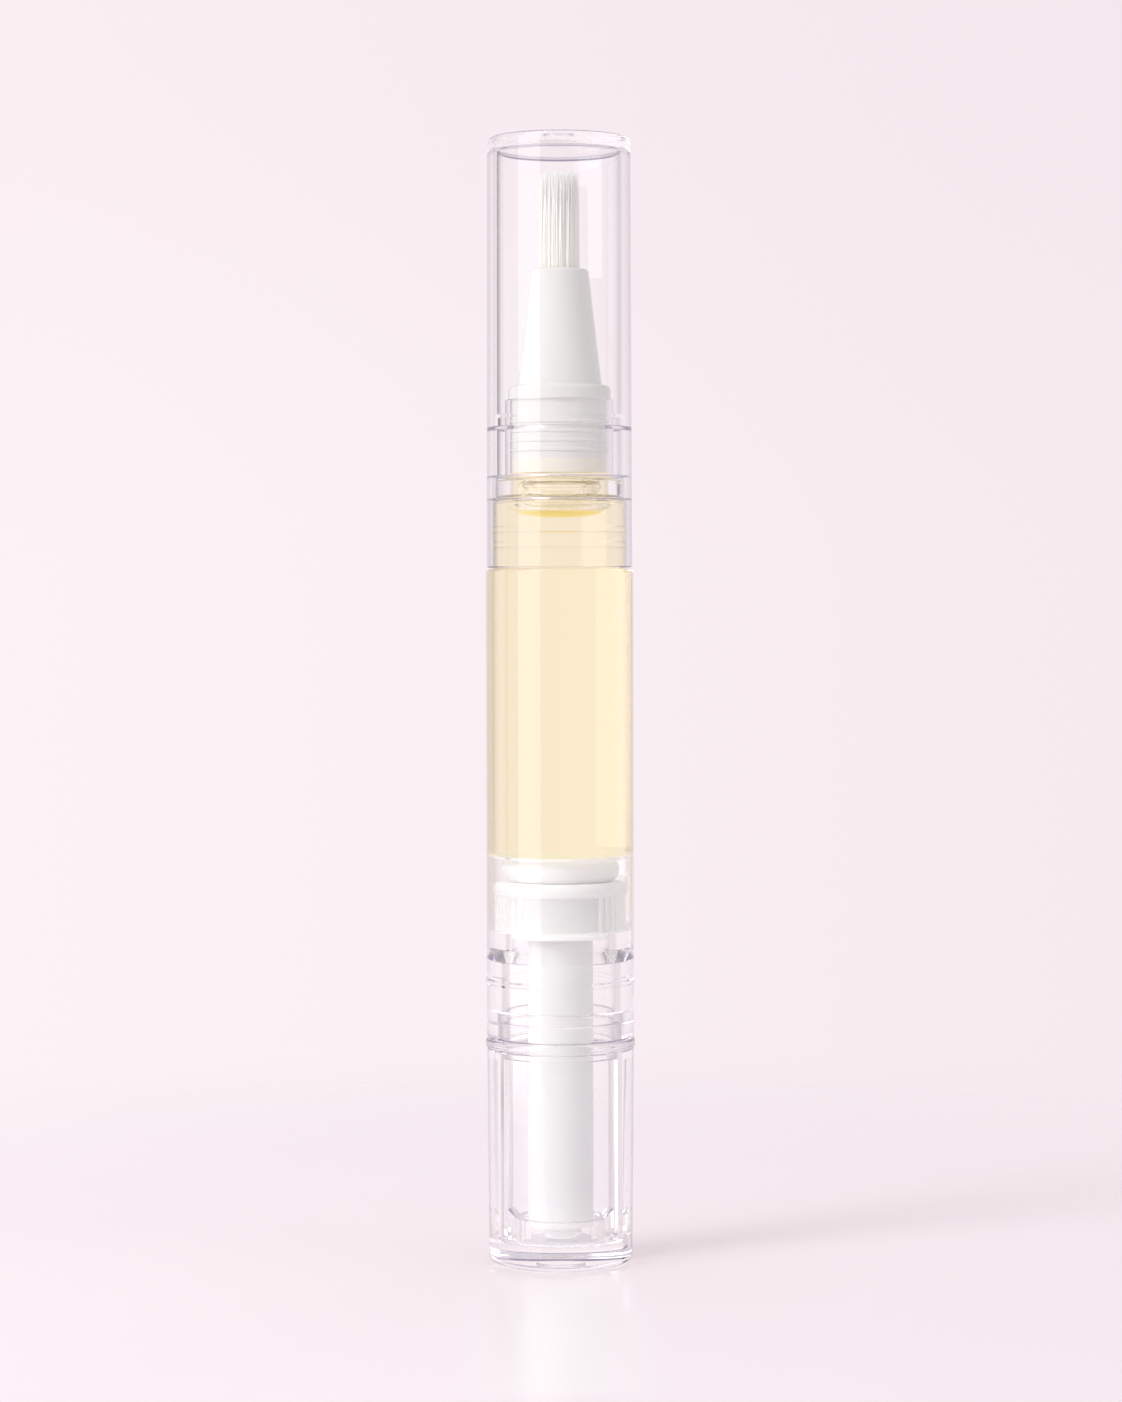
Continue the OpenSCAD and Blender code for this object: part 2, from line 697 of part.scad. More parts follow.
module piston_cup() {
    swell = cup_belly_r - cup_foot_r;
    belly_h = cup_h * belly_share;
    socket = stud_r + push_gap;
    color([0.98, 0.97, 0.96]) turned(concat(
        [[socket, body_top_z]],
        [for (a = [-90:belly_step:belly_end]) [
            cup_foot_r + swell * cos(a),
            body_top_z + belly_h * (1 + sin(a)) / 2
        ]],
        [[piston_r, cup_top_z - cup_lip_t], [piston_r, cup_top_z], [piston_r - cup_lip_t, cup_top_z]],
        [[dish_r, dish_z], [0, dish_z], [0, stud_top_z + head_gap], [socket, stud_top_z + head_gap]]
    ));
}

module nozzle() {
    ring_step = stem_l * stem_ring_span_share / stem_rings;
    tip_z = cone_top_z - cone_edge_r;
    color("white") difference() {
        turned(concat(
            [[0, stem_z], [stem_r, stem_z]],
            [for (i = [0:stem_rings - 1]) each bump(
                stem_r,
                stem_ring_depth,
                stem_z + stem_l * stem_ring_low_share + ring_step * i,
                stem_ring_h
            )],
            [[stem_r, neck_top_z], [flange_r, neck_top_z]],
            arc(flange_r - flange_edge_r, flange_top_z - flange_edge_r, flange_edge_r, 0, 90),
            [[cone_base_r, flange_top_z]],
            arc(cone_tip_r - cone_edge_r, tip_z, cone_edge_r, 0, 90),
            [[0, cone_top_z]]
        ));
        translate([0, 0, stem_z - over])
            cylinder(r = stem_bore_r, h = stem_l + over, $fn = smooth);
        translate([0, 0, stem_z]) cylinder(r = pocket_r, h = pocket_top_z - stem_z, $fn = smooth);
        translate([0, 0, stem_z]) cylinder(r = tip_hole_r, h = cone_top_z - stem_z + over, $fn = smooth);
    }
}

module brush_seat() {
    color([0.95, 0.95, 0.94]) ring(pocket_r - push_gap, feed_r + push_gap, brush_seat_z, backing_z);
}

module feed_tube() {
    color([0.9, 0.9, 0.88]) ring(feed_r, feed_bore_d / 2, stem_z, stem_z + feed_l);
}

// One bristle: a three-sided strand that narrows to a point
module strand(x, y, top) {
    low = backing_t - sink;
    shoulder = top * strand_shoulder_share;
    slim_r = strand_r * tip_r_share;
    root = [for (a = [0, 120, 240]) [x + strand_r * cos(a), y + strand_r * sin(a), low]];
    slim = [for (a = [0, 120, 240]) [
        x * tip_bundle_share + slim_r * cos(a),
        y * tip_bundle_share + slim_r * sin(a),
        shoulder
    ]];
    polyhedron(
        concat(root, slim, [[x * tip_bundle_share, y * tip_bundle_share, top]]),
        [
            [0, 1, 2],
            [0, 3, 4], [0, 4, 1], [1, 4, 5], [1, 5, 2], [2, 5, 3], [2, 3, 0],
            [3, 6, 4], [4, 6, 5], [5, 6, 3]
        ]
    );
}

// Place of a bristle's root in the bundle, spread evenly round the feed tube
function strand_spot(i) = let (
    inner = feed_r + 2 * strand_r,
    outer = bundle_r - strand_r,
    r = sqrt(inner * inner + (outer * outer - inner * inner) * i / (strand_count - 1))
) [r * cos(golden_angle * i), r * sin(golden_angle * i)];

module brush_bristles() {
    length = bristle_top_z - backing_z;
    color([0.96, 0.93, 0.9]) translate([0, 0, backing_z])
        resize([2 * backing_r, 2 * backing_r, 0]) union() {
            difference() {
                cylinder(r = backing_r, h = backing_t, $fn = backing_sides);
                translate([0, 0, -over])
                    cylinder(r = feed_r + push_gap, h = backing_t + 2 * over, $fn = feed_sides);
            }
            for (i = [0:strand_count - 1])
                strand(
                    strand_spot(i)[0],
                    strand_spot(i)[1],
                    length - tip_spread * (1 + sin(tip_angle * i)) / 2 - tip_spread * i / strand_count
                );
        }
}

module cap() {
    ring_z = cap_z + cap_ring_up;
    color([0.97, 0.95, 0.97]) difference() {
        turned(concat(
            [[0, cap_z], [cap_mouth_r - small_edge, cap_z], [cap_mouth_r, cap_z + small_edge]],
            arc(cap_end_r - cap_edge_r, cap_top_z - cap_edge_r, cap_edge_r, 0, 90),
            [[0, cap_top_z]]
        ));
        turned(concat(
            [[0, cap_z - over], [mouth_r, cap_z - over], [mouth_r, seat_top_z + mouth_gap]],
            [[cap_shoulder_r, seat_top_z + mouth_gap + small_edge], [cap_shoulder_r, neck_z + mouth_gap]],
            [[cap_bore_r, neck_z + mouth_gap + small_edge]],
            bump(cap_bore_r, -cap_ring_depth, ring_z, cap_ring_h),
            arc(cap_bore_r - cap_fillet_r, cap_ceiling_z - cap_fillet_r, cap_fillet_r, 0, 90),
            [[0, cap_ceiling_z]]
        ));
        translate([0, 0, cap_top_z - cap_gate_depth])
            cylinder(d = cap_gate_d, h = cap_gate_depth + over, $fn = smooth);
    }
}

knob();
knob_collar();
drive_tube();
thread_insert();
barrel();
oil();
piston_body();
piston_cup();
piston_rod();
nozzle();
brush_seat();
feed_tube();
brush_bristles();
cap();
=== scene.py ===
"""Looks, light and camera for the clear oil pen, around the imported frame."""

import logging
import random
from dataclasses import dataclass
from enum import Enum
from functools import cache
from math import atan2, copysign, cos, degrees, hypot, pi, radians, sin, sqrt, tan
from typing import Iterable, Sequence

import bpy
from bpy.types import Material, Node, NodeSocket, Object, World
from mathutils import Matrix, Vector


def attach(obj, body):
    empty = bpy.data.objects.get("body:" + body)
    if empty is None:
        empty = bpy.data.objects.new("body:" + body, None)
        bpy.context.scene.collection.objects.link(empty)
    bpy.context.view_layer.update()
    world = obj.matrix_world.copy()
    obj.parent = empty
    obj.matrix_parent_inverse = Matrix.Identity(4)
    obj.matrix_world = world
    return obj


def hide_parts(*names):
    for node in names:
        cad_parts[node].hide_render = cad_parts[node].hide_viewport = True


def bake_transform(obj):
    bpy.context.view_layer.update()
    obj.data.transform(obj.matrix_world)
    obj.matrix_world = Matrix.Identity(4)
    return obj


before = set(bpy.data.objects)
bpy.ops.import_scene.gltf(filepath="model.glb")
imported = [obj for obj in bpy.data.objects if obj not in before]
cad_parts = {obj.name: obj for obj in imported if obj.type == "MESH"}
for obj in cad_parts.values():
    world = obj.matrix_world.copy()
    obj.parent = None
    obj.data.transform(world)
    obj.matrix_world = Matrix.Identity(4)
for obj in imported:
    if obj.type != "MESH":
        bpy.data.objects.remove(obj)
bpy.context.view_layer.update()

LOG = logging.getLogger("pen")
MM = 0.001
FULL_TURN = 2 * pi
GOLDEN_ANGLE = radians(137.508)
SMOOTH_ANGLE = radians(32)
WELD = 0.0005 * MM
STEPS = 192
FINE_STEPS = 256

Point = tuple[float, float]
Colour = tuple[float, float, float]
Span = tuple[float, float, float]
Inputs = dict[str | int, object]


def srgb(red: int, green: int, blue: int) -> Colour:
    """Turn a colour with parts from 0 to 255 into linear light."""
    parts = (value / 255 for value in (red, green, blue))
    return tuple(v / 12.92 if v <= 0.04045 else ((v + 0.055) / 1.055) ** 2.4 for v in parts)


def clear_selection() -> None:
    """Leave edit mode and deselect every object."""
    if bpy.context.object and bpy.context.object.mode != "OBJECT":
        bpy.ops.object.mode_set(mode="OBJECT")
    bpy.ops.object.select_all(action="DESELECT")


def pick(active: Object, *others: Object) -> None:
    """Select these objects alone, the first of them as the active one.

    Args:
        active: The object that operators work on.
        others: The objects that are selected with it.
    """
    clear_selection()
    for piece in (active, *others):
        piece.select_set(True)
    bpy.context.view_layer.objects.active = active


@dataclass(frozen=True)
class Extent:
    """How far a CAD node reaches, in millimetres."""

    low: float
    top: float
    radius: float

    @classmethod
    def of(cls, node: str) -> "Extent":
        """Measure a CAD node from its mesh.

        Args:
            node: The CAD node.

        Returns:
            Its extent.
        """
        points = [vertex.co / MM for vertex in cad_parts[node].data.vertices]
        heights = [point.z for point in points]
        return cls(min(heights), max(heights), max(hypot(point.x, point.y) for point in points))


class Body(Enum):
    """The bodies of the frame that pieces ride on."""

    BARREL = "barrel"
    CAP = "cap"
    KNOB = "knob"
    PISTON = "piston"


@dataclass(frozen=True)
class Grain:
    """Noise over a piece: waves in a metre, octaves, scale upwards, span that is used, and bumps' depth."""

    scale: float
    detail: float = 2.0
    upright: float = 1.0
    span: Point = (0.3, 0.7)
    depth: float = 0.02 * MM


FLOW = Grain(140.0, 1.0, 0.3)
SMEAR = Grain(900.0, 2.0, 0.35, (0.45, 0.75))
CLOUD = Grain(260.0, 3.0, 0.4, (0.3, 0.75))
SKIN = Grain(9000.0, depth=0.01 * MM)
STREAK = Grain(2600.0, 2.0, 0.04, (0.35, 0.7))
FIBRE = Grain(3500.0, 4.0)
MOTTLE = Grain(14.0, 3.0, 1.0, (0.35, 0.7))
WHITE = (1.0, 1.0, 1.0)
PAINTED_RIM_WHITE = (1.0, 0.99, 0.96)
FLAT = (1.0, 1.0, 0.0)


@dataclass(frozen=True)
class Wave:
    """A shader socket that Python's operators work on, one Math node for each."""

    shader: "Shader"
    socket: NodeSocket

    def math(self, operation: str, *others: "Wave | float") -> "Wave":
        """Add a Math node, with other values or waves after this one, and return its result."""
        return self.shader.wave("ShaderNodeMath", dict(enumerate((self, *others))), operation=operation)

    def __add__(self, other: "Wave | float") -> "Wave":
        """Return the sum."""
        return self.math("ADD", other)

    def __sub__(self, other: "Wave | float") -> "Wave":
        """Return the difference."""
        return self.math("SUBTRACT", other)

    def __rsub__(self, other: float) -> "Wave":
        """Return a number less this value."""
        return self.shader.wave("ShaderNodeMath", {0: other, 1: self}, operation="SUBTRACT")

    def __mul__(self, other: "Wave | float") -> "Wave":
        """Return the product."""
        return self.math("MULTIPLY", other)

    def __abs__(self) -> "Wave":
        """Return the value without its sign."""
        return self.math("ABSOLUTE")

    __radd__ = __add__
    __rmul__ = __mul__

    def either(self, other: "Wave | float") -> "Wave":
        """Return the larger of the two values."""
        return self.math("MAXIMUM", other)

    def ramp(self, low: float, high: float, start: float = 0.0, end: float = 1.0) -> "Wave":
        """Map this value smoothly, so that it is start at the low value and end at the high one."""
        inputs = {"Value": self, "From Min": low, "From Max": high, "To Min": start, "To Max": end}
        return self.shader.wave("ShaderNodeMapRange", inputs, interpolation_type="SMOOTHSTEP")

    def band(self, low: float, high: float, soft: float) -> "Wave":
        """Mark what lies between two values.

        Args:
            low, high: The two values.
            soft: How far each side reaches to both sides of its value.

        Returns:
            The band.
        """
        rise = self.ramp(low - soft, low + soft)
        fall = self.ramp(high - soft, high + soft, 1.0, 0.0)
        return rise * fall


class Shader:
    """A node tree of a material or the world, and the one way to add a node to it."""

    def __init__(self, owner: Material | World) -> None:
        """Clear the owner's node tree and keep it.

        Args:
            owner: The material or world that the nodes belong to.
        """
        owner.use_nodes = True
        self.owner = owner
        self.tree = owner.node_tree
        self.tree.nodes.clear()

    def node(self, kind: str, inputs: Inputs | None = None, **settings: object) -> Node:
        """Add a node.

        Args:
            kind: The node's type.
            inputs: Values, sockets or waves for its inputs, by name or place.
            settings: Its own settings, which are set first.

        Returns:
            The new node.
        """
        node = self.tree.nodes.new(kind)
        for name, value in settings.items():
            setattr(node, name, value)
        for key, value in (inputs or {}).items():
            socket = node.inputs[key]
            source = value.socket if isinstance(value, Wave) else value
            if isinstance(source, NodeSocket):
                self.tree.links.new(source, socket)
            elif isinstance(source, tuple) and len(source) == 3 and socket.type == "RGBA":
                socket.default_value = (*source, 1.0)
            else:
                socket.default_value = source
        return node

    def wave(self, kind: str, inputs: Inputs, out: int | str = 0, **settings: object) -> Wave:
        """Add a node and return one of its outputs as a wave."""
        return Wave(self, self.node(kind, inputs, **settings).outputs[out])

    def place(self) -> NodeSocket:
        """Return the point on the piece, in metres."""
        return self.node("ShaderNodeTexCoord").outputs["Object"]

    def scaled(self, scale: Colour) -> NodeSocket:
        """Return the point on the piece with each axis scaled."""
        return self.node("ShaderNodeMapping", {"Vector": self.place(), "Scale": scale}).outputs[0]

    def parts(self, vector: NodeSocket) -> list[Wave]:
        """Return a vector's X, Y and Z."""
        split = self.node("ShaderNodeSeparateXYZ", {"Vector": vector})
        return [Wave(self, split.outputs[axis]) for axis in "XYZ"]

    def height(self) -> Wave:
        """Return the height on the piece, in metres."""
        return self.parts(self.place())[2]

    def length(self, vector: NodeSocket) -> Wave:
        """Return a vector's length."""
        return self.wave("ShaderNodeVectorMath", {0: vector}, "Value", operation="LENGTH")

    def rays(self, *names: str) -> list[Wave]:
        """Return what the Light Path node says of the ray, by its outputs' names."""
        path = self.node("ShaderNodeLightPath")
        return [Wave(self, path.outputs[name]) for name in names]

    def noise(self, grain: Grain) -> Wave:
        """Add noise over the piece.

        Args:
            grain: The noise's sizes.

        Returns:
            The noise, from 0 to 1.
        """
        vector = self.scaled((1.0, 1.0, grain.upright))
        inputs = {"Vector": vector, "Scale": grain.scale, "Detail": grain.detail}
        return self.wave("ShaderNodeTexNoise", inputs)

    def blend(self, factor: Wave | float, first: Colour | Wave, second: Colour | Wave) -> Wave:
        """Mix two colours."""
        return self.wave("ShaderNodeMix", {"Factor": factor, 6: first, 7: second}, 2, data_type="RGBA")

    def bump(self, grain: Grain, strength: float) -> NodeSocket:
        """Turn a noise into a normal."""
        inputs = {"Height": self.noise(grain), "Strength": strength, "Distance": grain.depth}
        return self.node("ShaderNodeBump", inputs).outputs["Normal"]

    def mix(self, factor: Wave, first: Node, second: Node) -> Node:
        """Mix two surfaces."""
        return self.node("ShaderNodeMixShader", {0: factor, 1: first.outputs[0], 2: second.outputs[0]})

    def finish(self, surface: Node, volume: Node | None = None) -> Material | World:
        """Join the surface and the volume to the output.

        Args:
            surface: The node that shades the surface.
            volume: The node that shades the inside, if there is one.

        Returns:
            The owner.
        """
        inputs = {"Surface": surface.outputs[0]}
        if volume:
            inputs["Volume"] = volume.outputs[0]
        world = isinstance(self.owner, World)
        self.node("ShaderNodeOutputWorld" if world else "ShaderNodeOutputMaterial", inputs)
        return self.owner


@dataclass(frozen=True)
class ClearPlastic:
    """Polished clear moulding, with heights and radii in millimetres.

    It takes the edge colour at a slant, or the warm one between the warm heights: painted shade and
    reflection for what its edges show. Shade tints light on its way to dull surfaces, and cast where that
    enters the pen.
    """

    name: str
    tint: Colour
    ior: float = 1.47
    roughness: float = 0.001
    smeared: float = 2.5
    shade: Colour = WHITE
    # Painted shade and reflection: the base colour turns to the edge colour at a slant, and to the warm
    # edge colour between the warm heights.
    edge: Colour = (0.58, 0.56, 0.65)
    painted_edge_start: float = 0.45
    painted_edge_full: float = 0.95
    painted_band_edge: Colour | None = None
    warm_z: Point = (0.0, 0.0)
    warm_soft: float = 0.3
    warm_roughness: float = 0.0
    gloss: float = 0.5
    ripple: float = 0.06
    deep: int = 5
    absorb: Colour | None = None
    density: float = 0.0
    # Painted highlight: a white veil at a slant, for a bubble's bright rim.
    painted_rim: float = 0.0
    painted_rim_span: Point = (0.3, 0.8)
    cast: Colour | None = None
    cast_r: float = 8.2
    cast_soft: float = 0.2

    def build(self) -> Material:
        """Make the finish.

        Returns:
            The material.
        """
        shader = Shader(bpy.data.materials.new(self.name))
        facing = shader.wave("ShaderNodeLayerWeight", {"Blend": 0.5}, "Facing")
        shadow, diffuse, depth = shader.rays("Is Shadow Ray", "Is Diffuse Ray", "Ray Depth")
        passing = shadow.either(diffuse)
        trapped = depth.math("GREATER_THAN", float(self.deep))
        surface = shader.mix(
            passing.either(trapped), self.plastic(shader, facing), self.passage(shader, passing),
        )
        # Painted highlight: white at a slant, for the bright rim that a bubble shows.
        if self.painted_rim:
            white = shader.node("ShaderNodeBsdfPrincipled", {"Base Color": PAINTED_RIM_WHITE, "Roughness": 0.4})
            painted_rim_share = (1.0 - passing) * facing.ramp(*self.painted_rim_span) * self.painted_rim
            surface = shader.mix(painted_rim_share, surface, white)
        volume = None
        if self.absorb:
            inputs = {"Color": self.absorb, "Density": self.density}
            volume = shader.node("ShaderNodeVolumeAbsorption", inputs)
        return shader.finish(surface, volume)

    def plastic(self, shader: Shader, facing: Wave) -> Node:
        """Make the plastic itself.

        Args:
            shader: The material's nodes.
            facing: How far the surface turns away from the look, from 0 to 1.

        Returns:
            The plastic's node.
        """
        edge, roughness = self.edge, self.roughness
        if self.roughness:
            roughness = shader.noise(SMEAR).ramp(*SMEAR.span, self.roughness, self.roughness * self.smeared)
        # Painted reflection and shade: between the warm heights the edge colour changes.
        if self.painted_band_edge:
            low, top = self.warm_z
            warm = shader.height().band(low * MM, top * MM, self.warm_soft * MM)
            edge = shader.blend(warm, self.edge, self.painted_band_edge)
            roughness = roughness + warm * self.warm_roughness
        # Painted shade and reflection: the base colour turns to the edge colour at a slant.
        slant = facing.ramp(self.painted_edge_start, self.painted_edge_full)
        inputs = {
            "Base Color": self.tint if edge == self.tint else shader.blend(slant, self.tint, edge),
            "Roughness": roughness,
            "IOR": self.ior,
            "Transmission Weight": 1.0,
            "Specular IOR Level": self.gloss,
        }
        if self.ripple:
            inputs["Normal"] = shader.bump(FLOW, self.ripple)
        return shader.node("ShaderNodeBsdfPrincipled", inputs)

    def passage(self, shader: Shader, passing: Wave) -> Node:
        """Let light through, less of it where it enters the pen if the plastic has a cast.

        Args:
            shader: The material's nodes.
            passing: 1 for light on its way to or from a dull surface.

        Returns:
            The transparent node, or the mix of two.
        """
        clear = shader.node("ShaderNodeBsdfTransparent", {"Color": self.shade})
        if not self.cast:
            return clear
        darker = shader.node("ShaderNodeBsdfTransparent", {"Color": self.cast})
        behind = Wave(shader, shader.node("ShaderNodeNewGeometry").outputs["Backfacing"])
        radius = shader.length(shader.scaled(FLAT))
        outside = radius.ramp((self.cast_r - self.cast_soft) * MM, self.cast_r * MM)
        return shader.mix((1.0 - behind) * outside * passing, clear, darker)


@dataclass(frozen=True)
class MouldedPlastic:
    """Opaque moulded plastic with a satin skin, and below a given height a painted golden tint, for light
    from the oil beneath.
    """

    name: str
    colour: Colour
    shadow_colour: Colour
    roughness: float = 0.3
    grain: float = 0.15
    glow: float = 0.0
    gold_light_z: float = 0.0
    gold_light_soft: float = 0.1
    gold_light_colour: Colour = WHITE
    spread: Point = (0.85, 1.2)

    @cache
    def build(self) -> Material:
        """Make the finish.

        Returns:
            The material, which is made once.
        """
        shader = Shader(bpy.data.materials.new(self.name))
        colour = shader.blend(shader.noise(CLOUD).ramp(*CLOUD.span), self.colour, self.shadow_colour)
        # Painted light: below the height the colour turns to the golden tint of light from the oil.
        if self.gold_light_z:
            low, top = (self.gold_light_z - self.gold_light_soft) * MM, (self.gold_light_z + self.gold_light_soft) * MM
            colour = shader.blend(shader.height().ramp(low, top, 1.0, 0.0), colour, self.gold_light_colour)
        smooth, rough = (self.roughness * share for share in self.spread)
        inputs = {
            "Base Color": colour,
            "Roughness": shader.noise(SKIN).ramp(*SKIN.span, smooth, rough),
            "IOR": 1.49,
            "Normal": shader.bump(SKIN, self.grain),
        }
        if self.glow:
            inputs |= {
                "Subsurface Weight": self.glow,
                "Subsurface Radius": (1.0, 0.96, 0.93),
                "Subsurface Scale": 3.0 * MM,
            }
        return shader.finish(shader.node("ShaderNodeBsdfPrincipled", inputs))


@dataclass(frozen=True)
class Filament:
    """Pale nylon bristle: a cream root that fades to a nearly white tip, with their heights in metres."""

    name: str
    root_z: float
    tip_z: float
    root: Colour = (0.98, 0.96, 0.925)
    tip: Colour = (0.995, 0.99, 0.985)
    streak: float = 0.35

    def build(self) -> Material:
        """Make the finish.

        Returns:
            The material.
        """
        shader = Shader(bpy.data.materials.new(self.name))
        plain = shader.blend(shader.height().ramp(self.root_z, self.tip_z), self.root, self.tip)
        streaks = shader.noise(STREAK).ramp(*STREAK.span) * self.streak
        nylon = shader.node("ShaderNodeBsdfPrincipled", {
            "Base Color": shader.blend(streaks, plain, self.root),
            "Roughness": 0.4,
            "IOR": 1.4,
        })
        return shader.finish(nylon)


@dataclass(frozen=True)
class Turning:
    """Turns an outline about the pen's axis, in some steps, into a closed shell, as on a lathe."""

    name: str
    steps: int = STEPS

    def make(self, outline: Sequence[Point]) -> Object:
        """Turn one outline.

        Args:
            outline: Points of radius and height, in millimetres, from one end to the other.

        Returns:
            The new object, closed, with its faces pointing outwards.
        """
        clear_selection()
        bpy.ops.mesh.primitive_plane_add(size=MM)
        piece = bpy.context.object
        piece.name = self.name
        piece.data.name = self.name
        bpy.ops.object.mode_set(mode="EDIT")
        bpy.ops.mesh.select_all(action="SELECT")
        bpy.ops.mesh.merge(type="CENTER")
        here, *others = (Vector((radius * MM, 0.0, height * MM)) for radius, height in outline)
        bpy.ops.transform.translate(value=here)
        for there in others:
            bpy.ops.mesh.extrude_vertices_move(TRANSFORM_OT_translate={"value": there - here})
            here = there
        bpy.ops.mesh.select_all(action="SELECT")
        bpy.ops.mesh.spin(steps=self.steps, angle=FULL_TURN, center=(0, 0, 0), axis=(0, 0, 1))
        bpy.ops.mesh.select_all(action="SELECT")
        bpy.ops.mesh.remove_doubles(threshold=WELD)
        bpy.ops.mesh.normals_make_consistent(inside=False)
        bpy.ops.object.mode_set(mode="OBJECT")
        bpy.ops.object.shade_smooth_by_angle(angle=SMOOTH_ANGLE)
        return piece


def quarter(centre: Point, radius: float, start: float, end: float, steps: int = 8) -> list[Point]:
    """Return points of an arc, from its first to its last angle in degrees."""
    turns = (radians(start + (end - start) * i / steps) for i in range(steps + 1))
    return [(centre[0] + radius * cos(t), centre[1] + radius * sin(t)) for t in turns]


def turn_at(before: Vector, here: Vector, after: Vector) -> float:
    """Return how far an outline turns at a point, in degrees, to the left as positive."""
    first, second = here - before, after - here
    return degrees(atan2(first.x * second.y - first.y * second.x, first.dot(second)))


class Outline:
    """An outline to turn, as points of radius and height in millimetres.

    Turns are in degrees. A corner past sharp is rounded, and so is one past blunt between long steps.
    """

    same = 0.002
    straight = 0.3
    blunt = 12
    sharp = 28
    arc_step = 0.4
    arc_turns = (3, 25)
    corner_share = 0.4
    corner_steps = (0.0, 0.25, 0.5, 0.75, 1.0)
    long_side = 8

    def __init__(self, points: Iterable[Sequence[float]]) -> None:
        """Keep the points."""
        self.points = [Vector(spot) for spot in points]

    @classmethod
    def read(cls, node: str) -> "Outline":
        """Read back the outline that a CAD node was turned from.

        Args:
            node: The CAD node.

        Returns:
            The outline, in order.
        """
        links = cls.links(node)
        ends = {spot for spot, near in links.items() if len(near) < 2}
        while ends:
            spot = ends.pop()
            level = [other for other in ends if abs(other[1] - spot[1]) < cls.same]
            if level:
                partner = min(level, key=lambda other: abs(other[0] - spot[0]))
                ends.discard(partner)
            else:
                partner = (0.0, spot[1])
            links[spot].add(partner)
            links.setdefault(partner, set()).add(spot)
        centre = sorted(spot for spot in links if spot[0] == 0.0)
        start = centre[0] if centre else min(links)
        path = [start]
        seen = {start}
        while onward := [spot for spot in sorted(links[path[-1]]) if spot not in seen]:
            path.append(onward[0])
            seen.add(onward[0])
        outline = cls(path)
        if not centre:
            outline.close()
        return outline

    @classmethod
    def links(cls, node: str) -> dict[Point, set[Point]]:
        """Find the mesh's edges on the half plane of the X axis.

        Args:
            node: The CAD node.

        Returns:
            The neighbours of each point.
        """
        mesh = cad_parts[node].data
        near = cls.same * MM
        spots = {
            vertex.index: (round(vertex.co.x / MM, 3), round(vertex.co.z / MM, 3))
            for vertex in mesh.vertices if abs(vertex.co.y) < near and vertex.co.x > near
        }
        links: dict[Point, set[Point]] = {spot: set() for spot in spots.values()}
        for edge in mesh.edges:
            first, last = (spots.get(index) for index in edge.vertices)
            if first and last and first != last:
                links[first].add(last)
                links[last].add(first)
        return links

    def raise_at(self, spot: Point, rise: float) -> None:
        """Raise the outline's point nearest to a spot."""
        nearest = min(self.points, key=lambda point: (point - Vector(spot)).length)
        nearest.y += rise

    def close(self) -> None:
        """Start a closed outline in the middle of its longest side and end it there."""
        count = len(self.points)
        spans = [(self.points[(i + 1) % count] - self.points[i]).length for i in range(count)]
        longest = spans.index(max(spans))
        middle = (self.points[longest] + self.points[(longest + 1) % count]) / 2
        turned = self.points[longest + 1:] + self.points[:longest + 1]
        self.points = [middle, *turned, middle.copy()]

    def smooth(self, corner: float = 0.06, support: float = 0.03) -> list[Point]:
        """Round the outline's corners, refine its arcs and hold its long sides straight.

        Args:
            corner: How far a rounded corner reaches along its sides.
            support: Distance of the extra points that keep a long side's shading flat.

        Returns:
            The outline's points.
        """
        rough = self.points
        kept = [rough[0]]
        for here, after in zip(rough[1:], rough[2:]):
            if abs(turn_at(kept[-1], here, after)) > self.straight:
                kept.append(here)
        kept.append(rough[-1])
        turns = [0.0, *(turn_at(*kept[i - 1:i + 2]) for i in range(1, len(kept) - 1)), 0.0]
        fine: list[Vector] = []
        for index, (here, turn) in enumerate(zip(kept, turns)):
            before, after = kept[index - 1] - here, kept[(index + 1) % len(kept)] - here
            shorter = min(before.length, after.length)
            if abs(turn) > self.sharp or (abs(turn) > self.blunt and shorter > self.arc_step):
                reach = min(corner, shorter * self.corner_share)
                first, last = here + before.normalized() * reach, here + after.normalized() * reach
                fine += [
                    first * (1 - s) ** 2 + here * (2 * s * (1 - s)) + last * s ** 2
                    for s in self.corner_steps
                ]
            else:
                fine.append(here)
            if index + 1 < len(kept):
                fine += self.arc_points(here, kept[index + 1], turn, turns[index + 1])
        return [(spot.x, spot.y) for spot in self.supported(fine, support)]

    @classmethod
    def arc_points(cls, here: Vector, there: Vector, turn: float, next_turn: float) -> list[Vector]:
        """Round off one straight step of an arc.

        Args:
            here, there: The step's two ends.
            turn, next_turn: How far the outline turns at each, in degrees.

        Returns:
            The points, or none where it is no arc's step.
        """
        chord = there - here
        if chord.length > cls.arc_step or turn * next_turn <= 0:
            return []
        low, high = cls.arc_turns
        if not (low < abs(turn) < high and low < abs(next_turn) < high):
            return []
        bulge = copysign(tan(radians(max(abs(turn), abs(next_turn))) / 4) / 2, turn)
        side = Vector((chord.y, -chord.x)) * bulge
        return [here + chord * share + side * (4 * share * (1 - share)) for share in (1 / 3, 2 / 3)]

    @classmethod
    def supported(cls, points: list[Vector], support: float) -> list[Vector]:
        """Add a point near each end of every long side.

        Args:
            points: The outline's points.
            support: How far from a side's end its point is.

        Returns:
            The points with the new ones.
        """
        result = [points[0]]
        for here, there in zip(points, points[1:]):
            side = there - here
            if side.length > support * cls.long_side:
                step = side.normalized() * support
                result += [here + step, there - step]
            result.append(there)
        return result


def dress(node: str, material: Material) -> None:
    """Give a CAD node its finish.

    Args:
        node: The CAD node.
        material: The finish.
    """
    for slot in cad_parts[node].material_slots:
        slot.material = material
    LOG.info("dressed %s in %s", node, material.name)


